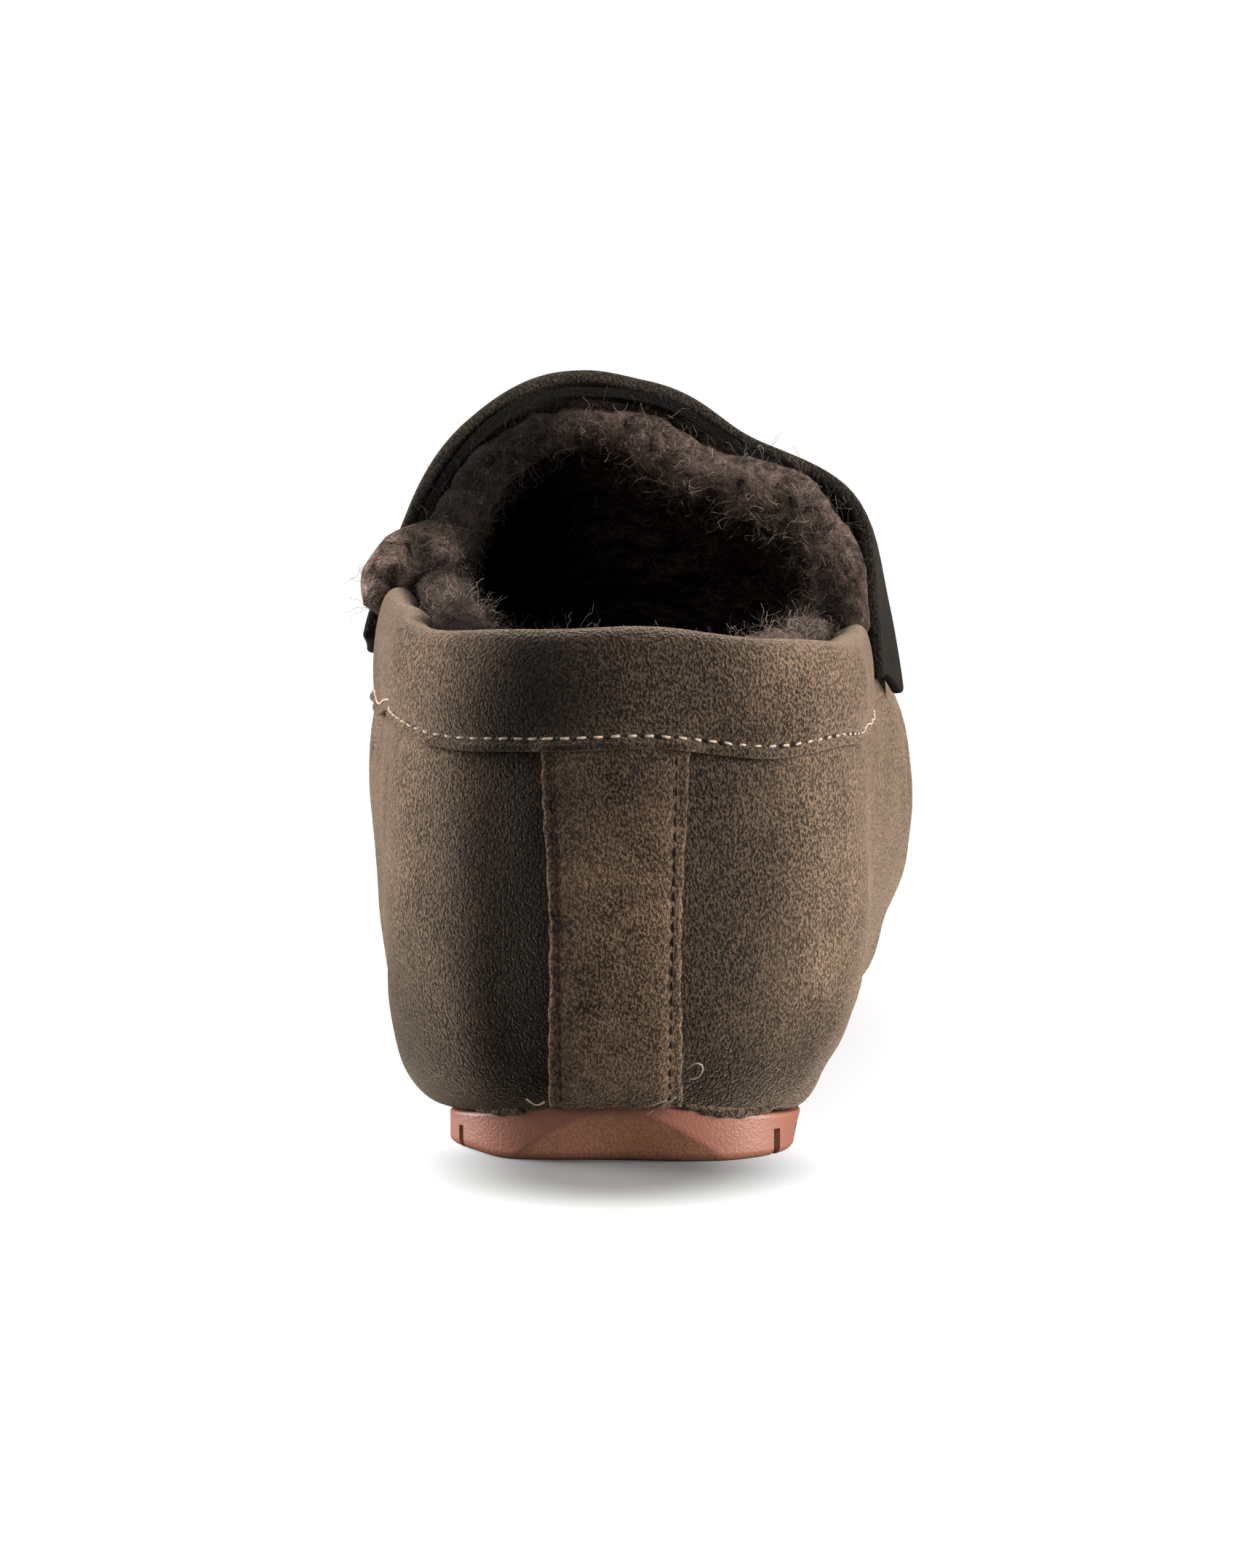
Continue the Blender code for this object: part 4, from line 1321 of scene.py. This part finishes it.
def stitchTree():
    tree, given = newTree("stitch row", ("Pitch", "Length", "Radius", "Rise", "Slant"), ("Seed",))
    line = addNode(tree, "GeometryNodeMeshToCurve", {0: given["Geometry"]}).outputs[0]
    spacing = {"Curve": line, "Length": given["Pitch"]}
    spots = addNode(tree, "GeometryNodeCurveToPoints", spacing, mode="LENGTH").outputs
    out = namedValue(tree, "out", "FLOAT_VECTOR")
    stand = addNode(tree, "FunctionNodeAlignRotationToVector", {"Vector": out}, axis="Z").outputs[0]
    facing = {"Rotation": stand, "Vector": spots["Tangent"]}
    turn = addNode(tree, "FunctionNodeAlignRotationToVector", facing, axis="X", pivot_axis="Z").outputs[0]
    jitter = randomVector(tree, (-0.05, -0.05, -0.12), (0.05, 0.05, 0.12), given["Seed"])
    tilt = vectorMaths(tree, "ADD", jitter, vector(tree, Z=given["Slant"]))
    half = maths(tree, "MULTIPLY", given["Length"], 0.5)
    minus = maths(tree, "MULTIPLY", given["Length"], -0.5)
    sink = maths(tree, "MULTIPLY", given["Radius"], -1.0)
    bow = {
        "Resolution": 7,
        "Start": vector(tree, X=minus, Z=sink),
        "Middle": vector(tree, Z=given["Rise"]),
        "End": vector(tree, X=half, Z=sink),
    }
    arc = addNode(tree, "GeometryNodeCurveQuadraticBezier", bow).outputs[0]
    thread = roundRod(tree, arc, 7, given["Radius"])
    row = copies(tree, spots["Points"], thread, turnedBy(tree, turn, tilt))
    return endTree(tree, realized(tree, row), given["Material"])


stitchRow = stitchTree()


def pathHost(rows):  # open lines with an outward vector at each point
    points = []
    edges = []
    outs = []
    for path, out in rows:
        first = len(points)
        points += toFrame(path).tolist()
        outs += np.asarray(out).tolist()
        edges += [(first + i, first + i + 1) for i in range(len(path) - 1)]
    mesh = bpy.data.meshes.new("seam path")
    mesh.from_pydata(points, edges, [])
    layer = mesh.attributes.new("out", "FLOAT_VECTOR", "POINT")
    layer.data.foreach_set("vector", np.asarray(outs, np.float32).ravel())
    return newObject("seam path", mesh)


def sewRow(name, rows, look, material, slot):
    host = pathHost(rows)
    values = {label: size * 0.001 for label, size in look.items() if label not in ("Slant", "Seed")}
    values.update({"Slant": look.get("Slant", 0.0), "Seed": look["Seed"], "Material": material})
    obj = growPiece(name, host, stitchRow, values)
    bpy.data.objects.remove(host)
    return finishPiece(obj, material, slot)


def bandStitchPath(start, end):
    place = np.linspace(start, end, 400)
    height = toplineHeight(place) - bandPiece["stitchDepth"] * bandNarrow(place) + bandSway(place)
    w = heightToW(place, height)
    lift = 0.9 + 0.5 * bandWave(place) + overHeelStrip(place)
    lift = bandLift(place, lift, throat - bandPiece["setback"])
    return raised(place, w, lift + 0.05), outward(place, w)


bandStitch = {"Pitch": 2.6, "Length": 1.6, "Radius": 0.23, "Rise": 0.5, "Seed": 3}
bandEnd = throat - 3.0
sewRow("bandStitches", [bandStitchPath(-bandEnd, bandEnd)], bandStitch, ecruThread, "band_suede")
# Needle holes between the stitches
bandHole = {"Pitch": 2.6, "Length": 0.9, "Radius": 0.4, "Rise": 0.12, "Seed": 4}
holeStart = 14.5 * bandHole["Pitch"] - bandEnd
sewRow("bandHoles", [bandStitchPath(holeStart, bandEnd)], bandHole, brownThread, "band_suede")


def backstayStitchPaths():
    rows = []
    for side in (-1, 1):
        height = np.linspace(12.0, 63.5, 80)
        ends = [backstayPiece["foot"], backstayPiece["top"]]
        halves = [backstayPiece["footHalf"], backstayPiece["topHalf"]]
        half = np.interp(height, ends, halves) - backstayPiece["seam"]
        w = heightToW(np.zeros(len(height)), height)
        reach = last["heelY"] - lastForm(np.zeros(len(height)), w)[:, 1]
        place = side * np.arcsin(half / reach) / (math.pi / 2) * last["heelArc"]
        rows.append((raised(place, w, 1.45), outward(place, w)))
    return rows


backstayStitch = {"Pitch": 2.25, "Length": 1.6, "Radius": 0.29, "Rise": 0.4, "Seed": 5}
sewRow("heelStripStitches", backstayStitchPaths(), backstayStitch, brownThread, "backstay_suede")


# Apron seam: the plug of the vamp sewn to the side wall in a raised, gathered ridge
apronPiece = {"radius": 1.75, "gather": 4.2, "sides": 14}
apronLine = [  # y or toe turn as place, w
    (along(90, 132), 0.60),
    (along(90, 170), 0.57),
    (along(90, 210), 0.52),
    (along(90, 246), 0.46),
    (along(135, 246), 0.42),
    (along(180, 246), 0.41),
]


def apronPath(count):
    knots = [row[0] for row in apronLine]
    height = smoothCurve(knots, [row[1] for row in apronLine])
    outer = np.linspace(knots[0], knots[-1], count)
    return np.concatenate([outer, -outer[-2::-1]]), np.concatenate([height(outer), height(outer)[-2::-1]])


def buildApron():
    place, w = apronPath(420)
    path = raised(place, w, 0.2)
    out = outward(place, w)
    step = np.linalg.norm(np.diff(path, axis=0), axis=1)
    run = np.concatenate([[0.0], np.cumsum(step)])
    gather = 0.3 * np.abs(np.sin(math.pi * run / apronPiece["gather"]))
    tangent = np.gradient(path, axis=0)
    tangent /= np.linalg.norm(tangent, axis=1, keepdims=True)
    side = np.cross(tangent, out)
    angle = np.linspace(0, 2 * math.pi, apronPiece["sides"], endpoint=False)
    size = (apronPiece["radius"] - gather)[:, None, None]
    ring = side[:, None] * np.cos(angle)[:, None] * 0.9 + out[:, None] * np.sin(angle)[:, None]
    points = path[:, None] + ring * size
    mesh = newMesh("apronSeam", points.reshape(-1, 3), tubeFaces(len(path), apronPiece["sides"]))
    finishPiece(newObject("apronSeam", mesh), upperSuede, "suede")
    return path + out * 0.9, out


apronRow = buildApron()
apronStitch = {"Pitch": 4.2, "Length": 4.4, "Radius": 0.42, "Rise": 2.2, "Slant": 1.35, "Seed": 11}
sewRow("apronStitches", [apronRow], apronStitch, brownThread, "suede")
print("seams sewn")


def fibreTree():
    numbers = ("Density", "Length", "Thickness", "Lean", "Curl", "Curl Size")
    tree, given = newTree("wool fibres", numbers, ("Points", "Seed"))
    dense = maths(tree, "MULTIPLY", given["Density"], namedValue(tree, "pile", "FLOAT"))
    scatter = {"Mesh": given["Geometry"], "Density": dense, "Seed": given["Seed"]}
    spots = addNode(tree, "GeometryNodeDistributePointsOnFaces", scatter).outputs
    straight = addNode(tree, "GeometryNodeCurvePrimitiveLine", {"End": (0.0, 0.0, 1.0)}).outputs[0]
    cut = {"Curve": straight, "Count": given["Points"]}
    strand = addNode(tree, "GeometryNodeResampleCurve", cut).outputs[0]
    minus = maths(tree, "MULTIPLY", given["Lean"], -1.0)
    least = vector(tree, X=minus, Y=minus)
    most = vector(tree, X=given["Lean"], Y=given["Lean"], Z=6.283)
    lean = randomVector(tree, least, most, given["Seed"])
    size = randomNumber(tree, 0.5, 1.35, given["Seed"])
    long = maths(tree, "MULTIPLY", size, given["Length"])
    field = copies(tree, spots["Points"], strand, turnedBy(tree, spots["Rotation"], lean), Scale=long)
    # Few fibres are pale, most are dark
    pale = randomNumber(tree, 0.05, 1.0, maths(tree, "ADD", given["Seed"], 17.0))
    tinted = storedValue(tree, field, "tint", maths(tree, "POWER", pale, 3.0), "INSTANCE")
    share = addNode(tree, "GeometryNodeSplineParameter").outputs["Factor"]
    reached = storedValue(tree, realized(tree, tinted), "reach", share, "POINT")
    where = addNode(tree, "GeometryNodeInputPosition").outputs[0]
    often = maths(tree, "DIVIDE", 1.0, given["Curl Size"])
    waves = {"Vector": where, "Scale": often, "Detail": 1.0, "Roughness": 0.7}
    wool = addNode(tree, "ShaderNodeTexNoise", waves).outputs["Color"]
    swing = vectorMaths(tree, "SUBTRACT", wool, (0.5, 0.5, 0.5))
    bend = scaled(tree, swing, maths(tree, "MULTIPLY", share, given["Curl"]))
    curled = addNode(tree, "GeometryNodeSetPosition", {"Geometry": reached, "Offset": bend}).outputs[0]
    hair = roundRod(tree, curled, 3, given["Thickness"], Scale=mapped(tree, share, 0.0, 1.0, 1.0, 0.45))
    return endTree(tree, realized(tree, hair), given["Material"])


fibres = fibreTree()


def growFibres(name, host, look, material, slot):
    values = {label: look[label] * 0.001 for label in ("Length", "Thickness", "Curl", "Curl Size")}
    values.update({label: look[label] for label in ("Density", "Lean", "Points", "Seed")})
    values["Material"] = material
    return finishPiece(growPiece(name, host, fibres, values), material, slot)


liningFibre = {
    "Density": 180000.0,
    "Length": 4.4,
    "Thickness": 0.042,
    "Lean": 1.2,
    "Curl": 7.0,
    "Curl Size": 2.4,
    "Points": 7,
    "Seed": 21,
}
growFibres("liningFibres", woolLining, liningFibre, woolFibre, "wool")
thicken(woolLining, 0.6)
settle(woolLining)
tongueFibre = {
    **liningFibre,
    "Density": 1300000.0,
    "Length": 3.8,
    "Lean": 1.3,
    "Curl": 6.0,
    "Curl Size": 2.0,
    "Points": 6,
    "Seed": 25,
}
growFibres("tongueFibres", tongueRoll, tongueFibre, woolFibre, "wool")
collarFibre = {**tongueFibre, "Density": 600000.0, "Length": 3.4, "Seed": 27}
growFibres("collarFibres", collarRoll, collarFibre, woolFibre, "wool")
insoleFibre = {**liningFibre, "Density": 160000.0, "Length": 4.0, "Points": 5, "Seed": 23}
growFibres("insoleFibres", woolInsole, insoleFibre, woolFibre, "wool")
print("wool grown")

# Ragged foot of the suede, hanging on the sole's edge
weltPiece = {"radius": 0.8, "reach": 0.8, "rise": 1.7, "drop": 2.0, "dropAt": 22.0, "dropWide": 9.0}


def buildWelt():
    piece = weltPiece
    outer = np.linspace(0.0, roundToe, 500)
    place = np.concatenate([outer, -outer[-2::-1]])
    axisX, axisY, wayX, wayY = plane(place)
    reach = shape["foot"](place) + piece["reach"]
    y = axisY + wayY * reach
    hang = piece["drop"] * np.exp(-(((np.abs(place) - piece["dropAt"]) / piece["dropWide"]) ** 2))
    ragged = 0.25 * np.sin(place / 3.3) * np.sin(place / 9.1)
    height = floorLine(y) + shape["sole"](place) + piece["rise"] - hang + ragged
    points, faces = tube(np.stack([axisX + wayX * reach, y, height], axis=-1), piece["radius"], 10)
    mesh = newMesh("suedeFoot", points, faces)
    points = meshPoints(mesh)
    movePoints(mesh, points + meshNormals(mesh) * (0.35 * lumpNoise(points, 1.5, 51))[:, None])
    addValues(mesh, "pile", np.ones(len(points)))
    # Painted shade where the suede meets the sole
    addValues(mesh, "shade", np.full(len(points), 0.55))
    return finishPiece(newObject("suedeFoot", mesh), upperSuede, "suede")


suedeFoot = buildWelt()
fuzz = {
    **liningFibre,
    "Density": 300000.0,
    "Length": 1.0,
    "Curl": 1.6,
    "Curl Size": 1.2,
    "Points": 4,
    "Seed": 29,
}
growFibres("footFuzz", suedeFoot, fuzz, fuzzFibre, "suede")

# Loose thread ends at the heel's foot: place, height and lift of each point
looseEnds = [
    [(3.0, 8.9, 2.4), (5.5, 9.6, 2.8), (8.6, 10.6, 2.4)],
    [(5.6, 8.0, 2.4), (7.4, 9.3, 2.9), (9.9, 11.2, 2.4)],
    [(11.5, 15.6, 1.0), (12.5, 16.6, 1.8), (13.6, 16.0, 2.0), (13.2, 14.4, 1.8), (12.0, 14.0, 1.4)],
    [(-15.0, 10.6, 2.0), (-13.5, 9.6, 2.6), (-12.0, 10.2, 2.2)],
]


def buildLooseEnds():
    points = []
    faces = []
    for line in looseEnds:
        place, height, lift = np.array(line).T
        knots = np.arange(len(line))
        at = np.linspace(0, len(line) - 1, 24)
        place, height, lift = [smoothCurve(knots, values)(at) for values in (place, height, lift)]
        path = lastForm(place, heightToW(place, height))
        _, _, wayX, wayY = plane(place)
        path = path + np.stack([wayX * lift, wayY * lift, height - path[:, 2]], axis=-1)
        some, made = tube(path, 0.14, 6)
        faces += [tuple(i + len(points) for i in face) for face in made]
        points += some.tolist()
    mesh = newMesh("looseThreads", np.array(points), faces)
    return finishPiece(newObject("looseThreads", mesh), ecruThread, "suede")


buildLooseEnds()
print("edges made")

# Floor, light and camera
stageLook = {
    "floor": "6a6968",
    "dim": 0.05,
    # Painted shadow on the floor: half sizes, middle and brightness there, by the heel and round the whole
    # shoe
    "shade": [((0.04, 0.05), (-0.004, -0.142), 0.0), ((0.085, 0.21), (0.0, 0.0), 0.75)],
    "left": {"place": (-0.9, 0.16, 0.4), "aim": (0.0, -0.08, 0.05), "size": (0.55, 0.7), "power": 35.5},
    "right": {"place": (0.95, -0.36, 0.32), "aim": (0.0, -0.08, 0.05), "size": (0.5, 0.7), "power": 34.5},
    "top": {"place": (0.1, 0.1, 1.2), "aim": (0.0, 0.0, 0.0), "size": (0.7, 0.7), "power": 5.0},
    "front": {"place": (-0.25, -1.1, 0.42), "aim": (0.0, 0.0, 0.08), "size": (0.6, 0.4), "power": 2.5},
}


def buildStage():
    radius = (np.linspace(0.0, 1.0, 60) ** 2 * 4.0)[:, None]
    turn = np.linspace(0, 2 * math.pi, 96, endpoint=False)
    points = np.stack([radius * np.cos(turn), radius * np.sin(turn), 0.0 * radius * turn], axis=-1)
    mesh = bpy.data.meshes.new("floor")
    mesh.from_pydata(points.reshape(-1, 3).tolist(), [], gridFaces(len(radius), len(turn), True))
    work = bmesh.new()
    work.from_mesh(mesh)
    bmesh.ops.remove_doubles(work, verts=work.verts, dist=1e-6)
    bmesh.ops.recalc_face_normals(work, faces=work.faces)
    work.to_mesh(mesh)
    work.free()
    mesh.shade_smooth()
    # White studio paper that glows for the camera, so that it burns out to white a hand's width from the
    # shoe, with a painted shadow near the shoe where it glows less
    paper, tree, skin = newMaterial("white studio paper with painted shadow")
    where = objectPlace(tree)
    paintedShadowGlows = []
    for size, place, near in stageLook["shade"]:
        spread = {"Vector": where, "Location": (*place, 0.0), "Scale": (*size, 1.0)}
        spot = addNode(tree, "ShaderNodeMapping", spread, vector_type="TEXTURE").outputs[0]
        far = addNode(tree, "ShaderNodeVectorMath", {0: spot}, operation="LENGTH").outputs["Value"]
        paintedShadowGlows.append(mapped(tree, far, 0.25, 1.0, near, 1.0, interpolation_type="SMOOTHSTEP"))
    seen = addNode(tree, "ShaderNodeLightPath").outputs["Is Camera Ray"]
    finish = {
        "Base Color": hexColour(stageLook["floor"]),
        "Roughness": 1.0,
        "Specular IOR Level": 0.0,
        "Emission Color": (1.0, 1.0, 1.0, 1.0),
        "Emission Strength": maths(tree, "MULTIPLY", maths(tree, "MINIMUM", *paintedShadowGlows), seen),
    }
    setInputs(tree, skin, finish)
    floor = newObject("floor", mesh)
    mesh.materials.append(paper)
    world = bpy.data.worlds.new("studio")
    bpy.context.scene.world = world
    world.use_nodes = True
    tree = world.node_tree
    seen = addNode(tree, "ShaderNodeLightPath").outputs["Is Camera Ray"]
    bright = mapped(tree, seen, 0.0, 1.0, stageLook["dim"], 1.0)
    setInputs(tree, tree.nodes["Background"], {"Color": (1.0, 1.0, 1.0, 1.0), "Strength": bright})
    for name in ("left", "right", "top", "front"):
        look = stageLook[name]
        lamp = bpy.data.lights.new(name + " softbox", "AREA")
        lamp.shape = "RECTANGLE"
        lamp.size, lamp.size_y = look["size"]
        lamp.energy = look["power"]
        holder = newObject(name + " softbox", lamp)
        holder.location = look["place"]
        aim = Vector(look["aim"]) - Vector(look["place"])
        holder.rotation_euler = aim.to_track_quat("-Z", "Y").to_euler()
        holder.visible_camera = False


cameraLook = {"place": (1.9, -880.0, 152.0), "pitch": 5.95, "lens": 132.24, "sensor": 36.0}  # mm and degrees


def buildCamera():
    data = bpy.data.cameras.new("camera")
    data.sensor_width = cameraLook["sensor"]
    data.lens = cameraLook["lens"]
    data.clip_start = 0.05
    holder = newObject("camera", data)
    holder.location = toFrame(cameraLook["place"])
    holder.rotation_euler = (math.radians(90.0 - cameraLook["pitch"]), 0.0, 0.0)
    bpy.context.scene.camera = holder


buildStage()
buildCamera()
bpy.context.scene.view_settings.view_transform = "Standard"
print("stage set")

bpy.context.view_layer.update()
